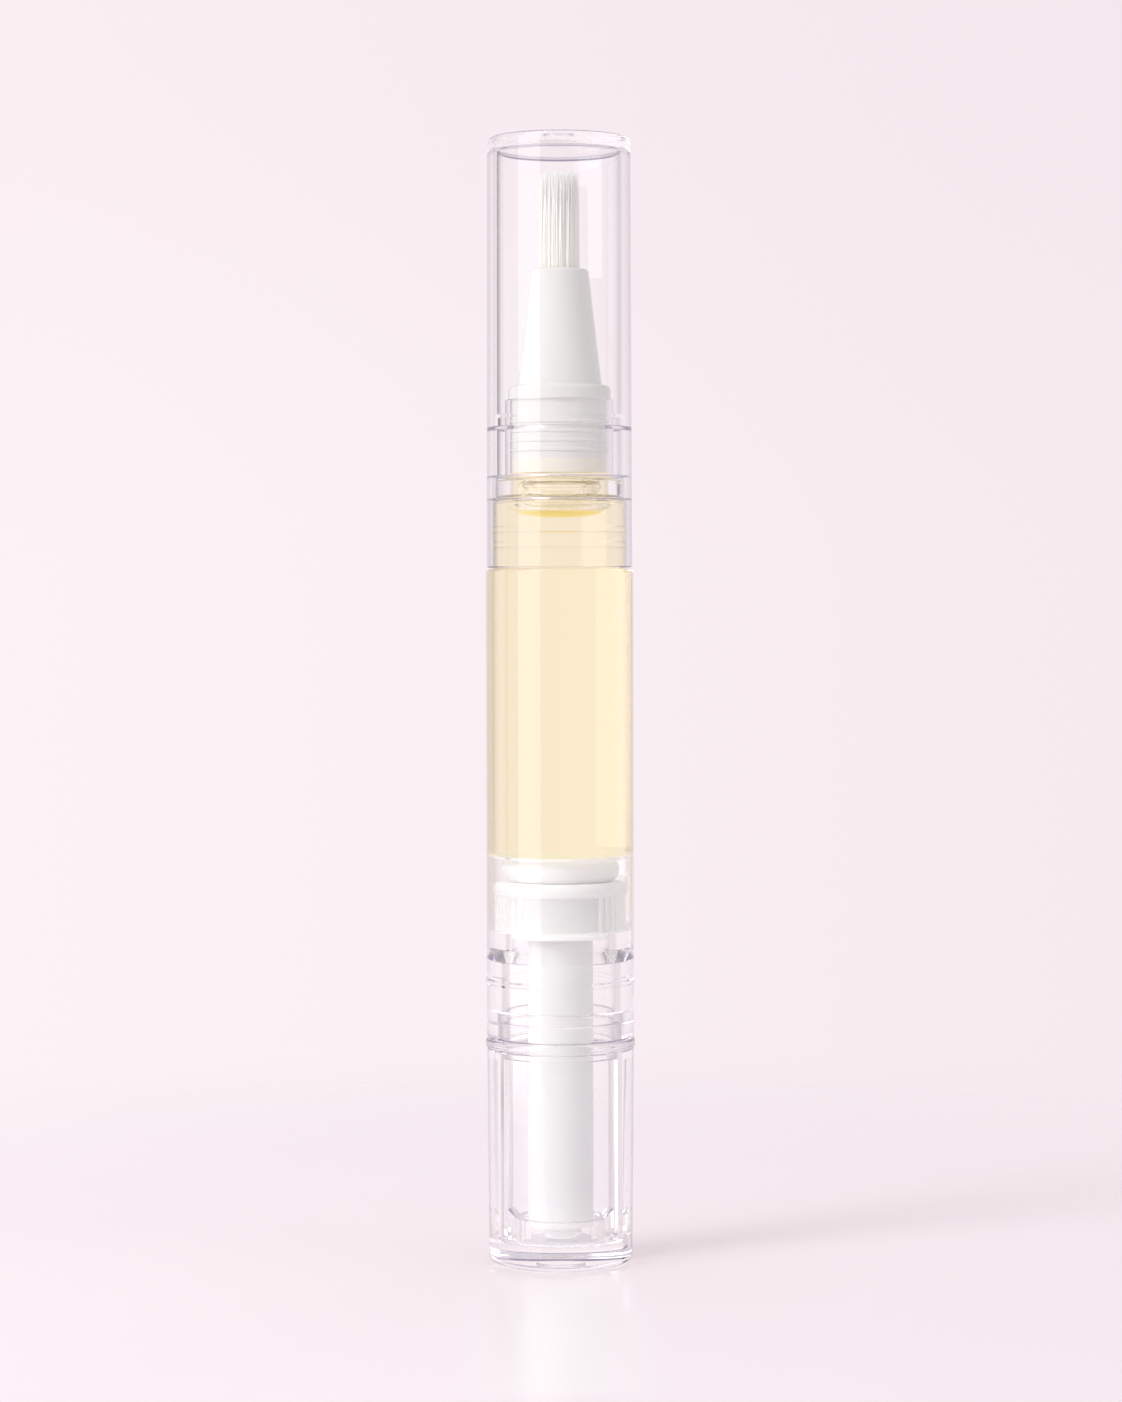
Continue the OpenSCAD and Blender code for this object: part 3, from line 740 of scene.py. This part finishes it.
def seat(piece: Object, body: Body, slot: str, material: Material, *nodes: str) -> None:
    """Finish a new piece.

    Args:
        piece: The piece, in its place.
        body: The body that it rides on.
        slot: The record's material slot; not used.
        material: The finish.
        nodes: CAD nodes that it stands for.
    """
    if not piece.data.materials:
        piece.data.materials.append(material)
    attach(piece, body.value)
    if nodes:
        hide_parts(*nodes)
    LOG.info("made %s with %d faces, on %s", piece.name, len(piece.data.polygons), body.value)


def recast(
    node: str,
    body: Body,
    slot: str,
    material: Material,
    moves: Iterable[tuple[Point, float]] = (),
) -> None:
    """Turn a clear CAD node again from its own outline, finely enough for clean refraction.

    Args:
        node: The CAD node.
        body: The body that it rides on.
        slot: The record's material slot.
        material: The finish.
        moves: Points of the outline and how far each is raised.
    """
    outline = Outline.read(node)
    for spot, rise in moves:
        outline.raise_at(spot, rise)
    shell = Turning(f"{node}_shell", FINE_STEPS).make(outline.smooth())
    seat(shell, body, slot, material, node)


CLEAR_TINT = (0.995, 1.0, 0.998)
SPREAD = (0.75, 0.67, 0.63)
BODY_SHADE = (0.997, 0.996, 0.997)
LIQUID = {"roughness": 0.0, "ripple": 0.0}
# The edge colours below are painted shade and reflection: dark lilac at the clear pieces' edges, gold at
# the oil's and bubble's and at the barrel's over the oil, pale at the cap's lid.
CAP_CLEAR = ClearPlastic(
    "cap_clear", CLEAR_TINT, shade=(0.985, 0.984, 0.985), edge=(0.3, 0.285, 0.36), deep=3, cast=SPREAD,
    painted_band_edge=(0.93, 0.92, 0.96), warm_z=(133.3, 136.0), warm_roughness=0.12,
)
BARREL_CLEAR = ClearPlastic(
    "barrel_clear", (0.998, 1.0, 0.995), shade=BODY_SHADE, cast=SPREAD,
    painted_band_edge=(0.62, 0.55, 0.4), warm_z=(42.4, 92.0),
)
KNOB_CLEAR = ClearPlastic(
    "knob_clear", CLEAR_TINT, shade=BODY_SHADE, edge=(0.2, 0.185, 0.26), painted_edge_start=0.66, cast=SPREAD,
)
COLLAR_CLEAR = ClearPlastic(
    "collar_clear", CLEAR_TINT, shade=BODY_SHADE, edge=(0.26, 0.25, 0.33), painted_edge_start=0.35,
)
OIL = ClearPlastic(
    "golden_oil", (1.0, 0.955, 0.74), shade=(1.0, 0.97, 0.86), edge=(0.84, 0.74, 0.5), gloss=0.05,
    absorb=(1.0, 0.86, 0.0), density=12.0, **LIQUID,
)
# The bubble's white rim is a painted highlight.
BUBBLE = ClearPlastic("bubble_wall", WHITE, edge=(0.98, 0.8, 0.4), painted_edge_start=0.3, painted_rim=0.85, **LIQUID)
# Painted reflection: dense gold under the bubble, for the oil below that the bubble's underside reflects.
REFLECTED_GOLD = ClearPlastic(
    "reflected_gold_paint", WHITE, ior=1.0, edge=WHITE, gloss=0.0, absorb=(0.97, 0.87, 0.0), density=300.0, **LIQUID,
)
GREASE = ClearPlastic("clear_grease", (1.0, 0.99, 0.97), edge=(0.95, 0.94, 0.93), gloss=0.05, **LIQUID)
# The nozzle's stem is painted golden below 96.7 mm, for the light it gets from the oil beneath.
NOZZLE_WHITE = MouldedPlastic(
    "nozzle_white", (0.825, 0.815, 0.80), (0.805, 0.79, 0.775), 0.16, 0.08,
    gold_light_z=96.7, gold_light_colour=(0.88, 0.83, 0.74),
)
DRIVE_WHITE = MouldedPlastic("drive_white", (0.98, 0.98, 0.98), (0.965, 0.965, 0.96), 0.4, 0.2, 0.7)
PISTON_WHITE = MouldedPlastic("piston_white", (0.99, 0.985, 0.975), (0.98, 0.975, 0.965), 0.45, glow=0.8)
CUP_SOFT = MouldedPlastic("cup_soft", (0.985, 0.975, 0.96), (0.97, 0.96, 0.94), 0.45, glow=0.8)
NATURAL = MouldedPlastic("natural_plastic", (0.86, 0.86, 0.84), (0.83, 0.83, 0.81), 0.4)


@dataclass
class CapShell:
    """The pull-off cap."""

    node: str = "cap"

    def build(self) -> None:
        """Turn and dress the cap."""
        recast(self.node, Body.CAP, "clear_cap", CAP_CLEAR.build())


@dataclass
class Applicator:
    """The white nozzle with its seat, feed tube and brush, in millimetres.

    The taper gives a strand's width at shares of its length. Strands stray, lean and sway at random.
    """

    bundle_r: float = 2.5
    feed_r: float = 0.82
    strands: int = 680
    strand_r: float = 0.08
    sides: int = 7
    taper: tuple[Point, ...] = ((0.55, 1.0), (0.8, 0.8), (0.93, 0.5), (1.0, 0.18))
    strand_angle: float = 80.0
    stray: float = 0.1
    lean: Point = (-0.10, 0.05)
    gather: float = 0.05
    sway: float = 0.12
    ragged: float = 2.4
    dome: float = 0.5
    core_r: float = 2.1
    core_taper: float = 0.93
    core_share: float = 0.78
    core_steps: int = 64
    backing_t: float = 1.0
    backing_gap: float = 0.02
    seed: int = 11

    def build(self) -> None:
        """Dress the moulded pieces and make the tuft of bristles."""
        dress("nozzle", NOZZLE_WHITE.build())
        dress("brush_seat", NATURAL.build())
        dress("feed_tube", NATURAL.build())
        root_z, top_z = Extent.of("nozzle").top * MM, Extent.of("brush_bristles").top * MM
        nylon = Filament("nylon_bristle", root_z, top_z).build()
        seat(self.tuft(), Body.BARREL, "nylon_bristle", nylon, "brush_bristles")

    def strand(self) -> Object:
        """Model one bristle, of unit length, that narrows to its tip.

        Returns:
            The bristle.
        """
        clear_selection()
        bpy.ops.mesh.primitive_cylinder_add(
            vertices=self.sides, radius=self.strand_r * MM, depth=1.0, location=(0, 0, 0.5),
        )
        strand = bpy.context.object
        bpy.ops.object.transform_apply()
        bpy.ops.object.mode_set(mode="EDIT")
        for cut, width in self.taper:
            bpy.ops.mesh.select_all(action="SELECT")
            if cut < 1.0:
                bpy.ops.mesh.bisect(plane_co=(0, 0, cut), plane_no=(0, 0, 1))
            self.narrow(strand, cut, width)
        bpy.ops.object.mode_set(mode="OBJECT")
        bpy.ops.object.shade_smooth_by_angle(angle=radians(self.strand_angle))
        return strand

    @staticmethod
    def narrow(strand: Object, height: float, width: float, near: float = 0.001) -> None:
        """Draw in the ring of points at one height of the strand.

        Args:
            strand: The bristle, in edit mode.
            height: The ring's height, as a share of the length.
            width: The share of its width that is left.
            near: How far off the height a point may be.
        """
        bpy.ops.mesh.select_all(action="DESELECT")
        bpy.ops.object.mode_set(mode="OBJECT")
        for vertex in strand.data.vertices:
            vertex.select = abs(vertex.co.z - height) < near
        bpy.ops.object.mode_set(mode="EDIT")
        bpy.ops.transform.resize(value=(width, width, 1.0))

    def tuft(self) -> Object:
        """Copy the strand into a full tuft on its backing and join them.

        Returns:
            The tuft, as one piece.
        """
        draw = random.Random(self.seed)
        solid = Extent.of("brush_bristles")
        backing_top = solid.low + self.backing_t
        model = self.strand()
        pieces = []
        for index in range(self.strands):
            share = sqrt((index + 0.5) / self.strands)
            core_r = self.feed_r + self.strand_r
            radius = core_r + (self.bundle_r - self.strand_r - core_r) * share
            angle = GOLDEN_ANGLE * index + draw.uniform(-self.stray, self.stray)
            length = solid.top - backing_top
            length = length - draw.uniform(0.0, 1.0) ** 2 * self.ragged - share * self.dome
            lean = draw.uniform(*self.lean) - self.gather * share
            sway = draw.uniform(-self.sway, self.sway)
            strand = model.copy()
            strand.data = model.data.copy()
            bpy.context.scene.collection.objects.link(strand)
            for vertex in strand.data.vertices:
                rise = vertex.co.z
                bend = rise ** 2
                out = radius * (1 + lean * bend)
                turn = angle + sway * bend
                vertex.co.x += out * cos(turn) * MM
                vertex.co.y += out * sin(turn) * MM
                vertex.co.z = (backing_top - self.backing_gap + rise * (length + self.backing_gap)) * MM
            pieces.append(strand)
        core_z = backing_top + (solid.top - backing_top) * self.core_share
        backing = Turning("brush_tuft", self.core_steps).make([
            (self.feed_r, solid.low), (solid.radius, solid.low), (solid.radius, backing_top),
            (self.core_r, backing_top), (self.core_r * self.core_taper, core_z), (self.feed_r, core_z),
            (self.feed_r, solid.low),
        ])
        pick(backing, *pieces)
        bpy.ops.object.join()
        clear_selection()
        bpy.data.objects.remove(model)
        return backing


@dataclass
class OilBarrel:
    """The barrel, the oil in it and the air bubble, in millimetres.
    """

    lap: float = 0.02
    film: float = 0.03
    ceiling_r: float = 1.2
    ceiling_steps: int = 6
    throat_r: float = 4.0
    web_t: float = 1.8
    neck_bore_r: float = 5.95
    neck_oil_h: float = 0.7
    dish_r: float = 3.5
    dish_depth: float = 0.8
    lip_t: float = 0.3
    column_top: float = 89.0
    bubble_r: float = 4.28
    bubble_h: float = 2.05
    bubble_edge_r: float = 0.95
    bubble_waist_r: float = 3.0
    bubble_waist_bend: float = 0.35
    bubble_throat_r: float = 3.44
    bubble_crown_r: float = 0.6
    bubble_roof_t: float = 0.15
    gold_reflection_r: float = 3.6
    gold_reflection_h: float = 0.85
    gold_reflection_rings: int = 12
    gold_reflection_steps: int = 96
    cone: tuple[tuple[Point, float], ...] = (((6.65, 37.15), -0.7), ((6.28, 37.53), -0.35))

    def build(self) -> None:
        """Dress the barrel and make the oil."""
        recast("barrel", Body.BARREL, "clear_barrel", BARREL_CLEAR.build(), self.cone)
        oil = self.oil()
        foot = (0.0, 0.0, Extent.of("piston_cup").top * MM)
        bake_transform(oil)
        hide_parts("oil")

    def oil(self) -> Object:
        """Make the oil as it fills the chamber, throat and neck.

        Returns:
            The oil, with the bubble's wall and the painted gold reflection inside it.
        """
        lap = self.lap
        solid = Extent.of("oil")
        bore_r = solid.radius + self.film
        neck_z = solid.top - self.neck_oil_h
        ceiling_z = neck_z - self.web_t
        lip_z = Extent.of("piston_cup").top - lap
        dish_z = lip_z - self.dish_depth
        fillet = (bore_r - self.ceiling_r, ceiling_z - self.ceiling_r)
        outline = [
            (0.0, dish_z), (self.dish_r, dish_z), (bore_r - self.lip_t, lip_z), (bore_r + lap, lip_z),
            *quarter(fillet, self.ceiling_r + lap, 0, 90, self.ceiling_steps),
            (self.throat_r + lap, ceiling_z + lap), (self.throat_r + lap, neck_z - lap),
            (self.neck_bore_r + lap, neck_z - lap), (self.neck_bore_r + lap, solid.top), (0.0, solid.top),
        ]
        oil = Turning("oil_fill").make(outline)
        oil.data.materials.append(OIL.build())
        bubble = self.bubble(ceiling_z, neck_z)
        # Painted reflection: a lens of deep gold just under the bubble.
        gold_reflection = self.gold_reflection(ceiling_z - self.bubble_h)
        pick(oil, bubble, gold_reflection)
        bpy.ops.object.join()
        return oil

    def gold_reflection(self, top_z: float) -> Object:
        """Make the painted deep gold just under the bubble, for the golden reflection of the oil below it.

        Args:
            top_z: Height of the bubble's underside.

        Returns:
            A thin lens, rounded below.
        """
        top_z -= self.lap
        arc = quarter((0.0, 0.0), 1.0, 0, -90, self.gold_reflection_rings)
        outline = [(0.0, top_z), *((self.gold_reflection_r * x, top_z + self.gold_reflection_h * z) for x, z in arc)]
        outline[-1] = (0.0, top_z - self.gold_reflection_h)
        gold_reflection = Turning("gold_reflection", self.gold_reflection_steps).make(outline)
        gold_reflection.data.materials.append(REFLECTED_GOLD.build())
        return gold_reflection

    def bubble(self, ceiling_z: float, neck_z: float) -> Object:
        """Make the bubble's wall, facing into the air that it holds.

        Args:
            ceiling_z: Height of the chamber's ceiling, which the wide lobe floats under.
            neck_z: Height of the neck's floor, which the upper lobe reaches.

        Returns:
            The wall.
        """
        low_z, top_z = ceiling_z - self.bubble_h, neck_z - self.bubble_roof_t
        edge, waist, crown = self.bubble_edge_r, self.bubble_waist_bend, self.bubble_crown_r
        outline = [
            (0.0, low_z),
            *quarter((self.bubble_r - edge, low_z + edge), edge, -85, 75, 16),
            *quarter((self.bubble_waist_r + waist, ceiling_z), waist, 250, 120, 8),
            *quarter((self.bubble_throat_r - crown, top_z - crown), crown, -30, 85, 10),
            (0.0, top_z),
        ]
        bubble = Turning("bubble_wall").make(outline)
        bubble.data.materials.append(BUBBLE.build())
        pick(bubble)
        bpy.ops.object.mode_set(mode="EDIT")
        bpy.ops.mesh.select_all(action="SELECT")
        bpy.ops.mesh.flip_normals()
        bpy.ops.object.mode_set(mode="OBJECT")
        return bubble


@dataclass
class Piston:
    """The piston with its cup, rod and the clear grease round it, in millimetres."""

    lap: float = 0.02
    gap: float = 0.03
    low_lip_h: float = 0.65
    waist_r: float = 4.7
    cup_r: float = 3.6
    dish_depth: float = 0.9
    rim_w: float = 0.5
    rim_t: float = 0.2
    sink: float = 0.2

    def build(self) -> None:
        """Dress the piston's pieces and make the grease round it."""
        dress("piston_body", PISTON_WHITE.build())
        dress("piston_cup", CUP_SOFT.build())
        dress("piston_rod", DRIVE_WHITE.build())
        body, cup = Extent.of("piston_body"), Extent.of("piston_cup")
        side_r = cup.radius + self.gap + self.lap
        low_z, foot_z, lip_z = body.low + self.low_lip_h, cup.low - self.sink, cup.top - self.rim_t
        outline = [
            (self.waist_r, low_z), (side_r, low_z), (side_r, lip_z), (side_r - self.rim_w, lip_z),
            (self.cup_r, cup.top - self.dish_depth), (self.cup_r, foot_z), (self.waist_r, foot_z),
            (self.waist_r, low_z),
        ]
        seat(Turning("piston_grease").make(outline), Body.PISTON, "cup_soft", GREASE.build())


@dataclass(frozen=True)
class Web:
    """A block along a radius inside the knob, in millimetres, whose top may rise outwards."""

    inner_r: float
    outer_r: float
    width: float
    low_z: float
    top_z: float
    rise: float = 0.0
    edge_r: float = 0.12
    edge_steps: int = 3

    def build(self, side: int) -> Object:
        """Make the block with rounded edges.

        Args:
            side: 1 or -1 for the right or left of the pen.

        Returns:
            The new block.
        """
        clear_selection()
        middle = (side * (self.inner_r + self.outer_r) / 2 * MM, 0.0, (self.low_z + self.top_z) / 2 * MM)
        size = ((self.outer_r - self.inner_r) * MM, self.width * MM, (self.top_z - self.low_z) * MM)
        bpy.ops.mesh.primitive_cube_add(size=1.0, location=middle, scale=size)
        bpy.ops.object.transform_apply()
        block = bpy.context.object
        for vertex in block.data.vertices:
            if vertex.co.z > middle[2] and abs(vertex.co.x) > abs(middle[0]):
                vertex.co.z += self.rise * MM
        bevel = block.modifiers.new("edges", "BEVEL")
        bevel.width = self.edge_r * MM
        bevel.segments = self.edge_steps
        bpy.ops.object.modifier_apply(modifier=bevel.name)
        return block


@dataclass
class TwistKnob:
    """The clear knob and collar, and the drive inside them, in millimetres."""

    height: float = 25.8
    top_r: float = 8.85
    foot_r: float = 8.65
    bore_r: float = 6.9
    floor_t: float = 2.8
    edge_r: float = 0.9
    fillet_r: float = 0.6
    gate_r: float = 2.0
    gate_depth: float = 0.2
    boss_r: float = 5.45
    boss_hollow_r: float = 4.5
    boss_top: float = 5.5
    rib_crest_r: float = 6.15
    rib_w: float = 4.6
    rib_top: float = 24.7
    fin_w: float = 3.4
    fin_rise: float = 2.4
    fin_sink: float = 0.1
    fin_drop: float = 0.2
    spline_w: float = 0.8
    spline_rest_r: float = 3.65
    spline_key_r: float = 3.72
    spline_sink: float = 0.2
    spline_drop: float = 0.05
    tube_low: float = 4.6
    sink: float = 0.35

    def build(self) -> None:
        """Make the knob, and dress its collar and the drive."""
        seat(self.knob(), Body.KNOB, "clear_knob", KNOB_CLEAR.build(), "knob")
        recast("knob_collar", Body.KNOB, "clear_collar", COLLAR_CLEAR.build())
        dress("drive_tube", DRIVE_WHITE.build())
        dress("thread_insert", NATURAL.build())

    def knob(self) -> Object:
        """Turn the knob's cup with its boss, and join the ribs, fins and splines to it.

        Returns:
            The knob, as one solid.
        """
        bend, fillet = self.edge_r, self.fillet_r
        cup = Outline([
            (0.0, self.gate_depth), (self.gate_r, self.gate_depth), (self.gate_r, 0.0),
            *quarter((self.foot_r - bend, bend), bend, -90, 0),
            (self.top_r, self.height), (self.bore_r, self.height),
            *quarter((self.bore_r - fillet, self.floor_t + fillet), fillet, 0, -90),
            (self.boss_r, self.floor_t), (self.boss_r, self.boss_top),
            (self.boss_hollow_r, self.boss_top), (self.boss_hollow_r, self.floor_t), (0.0, self.floor_t),
        ])
        shell = Turning("knob_shell", FINE_STEPS).make(cup.smooth())
        in_wall, in_boss = self.bore_r + self.sink, (self.boss_r + self.boss_hollow_r) / 2
        low_z = self.floor_t - self.sink
        fin_low, fin_top = low_z - self.fin_sink, self.boss_top - self.fin_drop
        rest_low, key_top = low_z - self.spline_sink, self.boss_top - self.spline_drop
        webs = (
            Web(self.rib_crest_r, in_wall, self.rib_w, low_z, self.rib_top),
            Web(in_boss, in_wall, self.fin_w, fin_low, fin_top, self.fin_rise),
            Web(self.spline_rest_r, in_boss, self.spline_w, rest_low, self.tube_low),
            Web(self.spline_key_r, in_boss, self.spline_w, self.tube_low - self.sink, key_top),
        )
        first, *others = (web.build(side) for side in (1, -1) for web in webs)
        for other in others:
            self.unite(first, other)
        self.unite(shell, first)
        pick(shell)
        bpy.ops.object.shade_smooth_by_angle(angle=SMOOTH_ANGLE)
        return shell

    @staticmethod
    def unite(target: Object, tool: Object) -> None:
        """Join one closed piece to another as one solid.

        Args:
            target: The piece that is kept.
            tool: The piece that goes into it.
        """
        pick(target)
        join = target.modifiers.new("join", "BOOLEAN")
        join.operation, join.solver, join.object = "UNION", "EXACT", tool
        bpy.ops.object.modifier_apply(modifier=join.name)
        bpy.data.objects.remove(tool)


@dataclass(frozen=True)
class Lamp:
    """A soft rectangular lamp that no mirror shows, with angles in degrees and lengths in metres."""

    name: str
    azimuth: float
    elevation: float
    distance: float
    size: Point
    radiance: float
    colour: Colour = (1.0, 0.992, 0.985)
    aim_z: float = 0.07

    def build(self) -> None:
        """Add the lamp, with its power worked out from its radiance and size."""
        turn, rise = radians(self.azimuth), radians(self.elevation)
        reach = self.distance * cos(rise)
        aim = Vector((0.0, 0.0, self.aim_z))
        away = Vector((reach * sin(turn), -reach * cos(turn), self.distance * sin(rise)))
        data = bpy.data.lights.new(self.name, "AREA")
        data.shape = "RECTANGLE"
        data.size, data.size_y = self.size
        data.energy = self.radiance * pi * self.size[0] * self.size[1]
        data.color = self.colour
        lamp = bpy.data.objects.new(self.name, data)
        lamp.location = aim + away
        lamp.visible_transmission = lamp.visible_glossy = False
        lamp.rotation_euler = (-away).to_track_quat("-Z", "Y").to_euler()
        bpy.context.scene.collection.objects.link(lamp)


@dataclass(frozen=True)
class Room:
    """What lights the pen from all round, and what its clear pieces mirror.

    A span is a band's beginning, end and softness: in degrees round the pen, with 0 behind it and its left
    below 0, or in z, which is 1 straight up.
    """

    wall_low: Colour = srgb(253, 243, 247)
    wall_high: Colour = srgb(250, 238, 243)
    wall_rise: Point = (0.0, 0.17)
    wall_shade: Colour = srgb(236, 220, 228)
    seen_share: float = 0.4
    seen_side: Point = (-0.2, 0.2)
    mirrored_share: float = 0.2
    mirrored_side: Point = (-0.2, 0.3)
    ceiling: Colour = srgb(205, 198, 212)
    ceiling_rise: Point = (0.45, 0.7)
    ceiling_share: float = 0.8
    cornice: Colour = srgb(128, 121, 146)
    cornice_z: Span = (0.27, 0.52, 0.05)
    cornice_share: float = 0.9
    tall_box: Span = (-150.0, -112.0, 1.5)
    tall_box_z: Span = (-0.6, 0.95, 0.03)
    tall_box_rise: Point = (0.15, 0.4)
    tall_level: float = 2.6
    tall_top_gain: float = 2.0
    low_box: Span = (-126.0, -95.0, 1.5)
    low_box_z: Span = (-0.3, -0.1, 0.02)
    low_level: float = 4.0
    dim_fall: Point = (0.35, 0.6)
    left_dark: Span = (-58.0, -48.0, 2.0)
    left_dark_share: float = 0.8
    left_gap_z: Span = (-0.135, -0.07, 0.02)
    left_gap_share: float = 0.85
    dims: tuple[tuple[Span, float], ...] = (((-118.0, -52.0, 6.0), 0.1), ((43.0, 110.0, 5.0), 0.15))
    ambient: Colour = (1.0, 0.985, 0.99)
    ambient_rise: tuple[float, ...] = (0.1, 0.9, 0.55, 0.85)
    ambient_side: Point = (0.0, 0.7)
    ambient_side_gain: float = 0.08

    def build(self) -> None:
        """Set the room up: plain to the camera, with its dark and bright bands for mirrors only."""
        world = bpy.data.worlds.new("room")
        bpy.context.scene.world = world
        shader = Shader(world)
        x, y, z = shader.parts(shader.node("ShaderNodeTexCoord").outputs["Generated"])
        azimuth = x.math("ARCTAN2", y) * (180 / pi)
        camera, glossy, through = shader.rays("Is Camera Ray", "Is Glossy Ray", "Is Transmission Ray")

        plain = shader.blend(z.ramp(*self.wall_rise), self.wall_low, self.wall_high)
        wall = shader.blend(x.ramp(*self.seen_side) * self.seen_share, plain, self.wall_shade)
        around = shader.blend(x.ramp(*self.mirrored_side) * self.mirrored_share, plain, self.wall_shade)
        above = shader.blend(z.ramp(*self.ceiling_rise) * self.ceiling_share, around, self.ceiling)
        room = shader.blend(z.band(*self.cornice_z) * self.cornice_share, above, self.cornice)

        gap = z.band(*self.left_gap_z) * self.left_gap_share
        dark = azimuth.band(*self.left_dark) * (1.0 - gap) * self.left_dark_share
        dim = sum(azimuth.band(*span) * share for span, share in self.dims)
        low = abs(z).ramp(*self.dim_fall, 1.0, 0.0)
        tall = azimuth.band(*self.tall_box) * z.band(*self.tall_box_z) * self.tall_level
        tall = tall * (1.0 + z.ramp(*self.tall_box_rise) * self.tall_top_gain)
        short = azimuth.band(*self.low_box) * z.band(*self.low_box_z) * self.low_level
        box = tall.either(short) * glossy * (1.0 - through)
        level = 1.0 + box - (dark + dim) * low

        glow = z.ramp(*self.ambient_rise) + x.ramp(*self.ambient_side) * self.ambient_side_gain
        seen, mirrored, ambient = (
            shader.node("ShaderNodeBackground", {"Color": colour, "Strength": strength})
            for colour, strength in ((wall, 1.0), (room, level), (self.ambient, glow))
        )
        shader.finish(shader.mix(camera, shader.mix(glossy.either(through), ambient, mirrored), seen))


@dataclass(frozen=True)
class Floor:
    """The pale satin floor, in metres, with a painted streak of light and reflection where the pen would
    throw brightness forwards on it.
    """

    radius: float = 0.45
    gap: float = 0.08 * MM
    sides: int = 128
    fade: Point = (0.09, 0.2)
    colour: Colour = srgb(253, 243, 248)
    mottle_colour: Colour = srgb(250, 240, 245)
    mottle_share: float = 0.5
    # Painted light: a brighter streak of floor colour in front of and under the pen, for its reflection and
    # the light it lets through.
    painted_light_colour: Colour = srgb(254, 251, 253)
    painted_light_x: Span = (-7 * MM, 7 * MM, 5 * MM)
    painted_light_y: Span = (-70 * MM, 9 * MM, 3 * MM)
    painted_light_share: float = 0.8
    fibre_bump: float = 0.12

    def build(self) -> None:
        """Lay the floor, which fades out into the backdrop."""
        clear_selection()
        bpy.ops.mesh.primitive_circle_add(
            vertices=self.sides, radius=self.radius, fill_type="NGON", location=(0.0, 0.0, -self.gap),
        )
        bpy.ops.object.transform_apply()
        floor = bpy.context.object
        floor.name = "floor"
        floor.data.materials.append(self.card())

    def card(self) -> Material:
        """Make the floor's finish.

        Returns:
            The material.
        """
        shader = Shader(bpy.data.materials.new("floor_card"))
        x, y, _ = shader.parts(shader.place())
        mottle = shader.noise(MOTTLE).ramp(*MOTTLE.span) * self.mottle_share
        colour = shader.blend(mottle, self.colour, self.mottle_colour)
        # Painted light: the brighter streak in front of and under the pen.
        streak = x.band(*self.painted_light_x) * y.band(*self.painted_light_y) * self.painted_light_share
        card = shader.node("ShaderNodeBsdfPrincipled", {
            "Base Color": shader.blend(streak, colour, self.painted_light_colour),
            "Roughness": 0.24,
            "Specular IOR Level": 0.4,
            "Normal": shader.bump(FIBRE, self.fibre_bump),
        })
        fade = shader.length(shader.place()).ramp(*self.fade)
        return shader.finish(shader.mix(fade, card, shader.node("ShaderNodeBsdfTransparent")))


@dataclass
class Studio:
    """The camera, the room, the floor and the lamps."""

    camera_place: Span = (0.00017, -0.411, 0.0802)
    camera_pitch: float = -1.746
    camera_roll: float = 0.12
    lens: float = 87.65
    film: float = 36.0
    clip_start: float = 0.01
    clear_bounces: int = 40
    dull_bounces: int = 16
    transparent_bounces: int = 48
    lamps: tuple[Lamp, ...] = (
        Lamp("softbox_left", -49.0, 8.0, 0.55, (0.34, 0.75), 1.2),
        Lamp("softbox_right", 64.0, 18.0, 0.6, (0.16, 0.4), 0.6),
        Lamp("window_left", -57.0, 30.0, 0.7, (0.2, 0.2), 12.5),
    )

    def build(self) -> None:
        """Set the studio up."""
        self.camera()
        for part in (Room(), Floor(), *self.lamps):
            part.build()
        bpy.context.scene.view_settings.view_transform = "Standard"
        cycles = bpy.context.scene.cycles
        cycles.max_bounces = cycles.transmission_bounces = cycles.glossy_bounces = self.clear_bounces
        cycles.diffuse_bounces = self.dull_bounces
        cycles.transparent_max_bounces = self.transparent_bounces

    def camera(self) -> None:
        """Place the camera as the photograph has it."""
        data = bpy.data.cameras.new("camera")
        data.sensor_fit = "VERTICAL"
        data.sensor_height = self.film
        data.lens = self.lens
        data.clip_start = self.clip_start
        camera = bpy.data.objects.new("camera", data)
        camera.location = self.camera_place
        camera.rotation_euler = (radians(90 + self.camera_pitch), radians(self.camera_roll), 0.0)
        bpy.context.scene.collection.objects.link(camera)
        bpy.context.scene.camera = camera


def main() -> None:
    """Build the studio, then the pen from its foot to its cap."""
    logging.basicConfig(level=logging.INFO, format="%(name)s: %(message)s")
    parts = (Studio(), TwistKnob(), Piston(), OilBarrel(), Applicator(), CapShell())
    for part in parts:
        part.build()
        LOG.info("built %s", type(part).__name__)


if __name__ == "__main__":
    main()
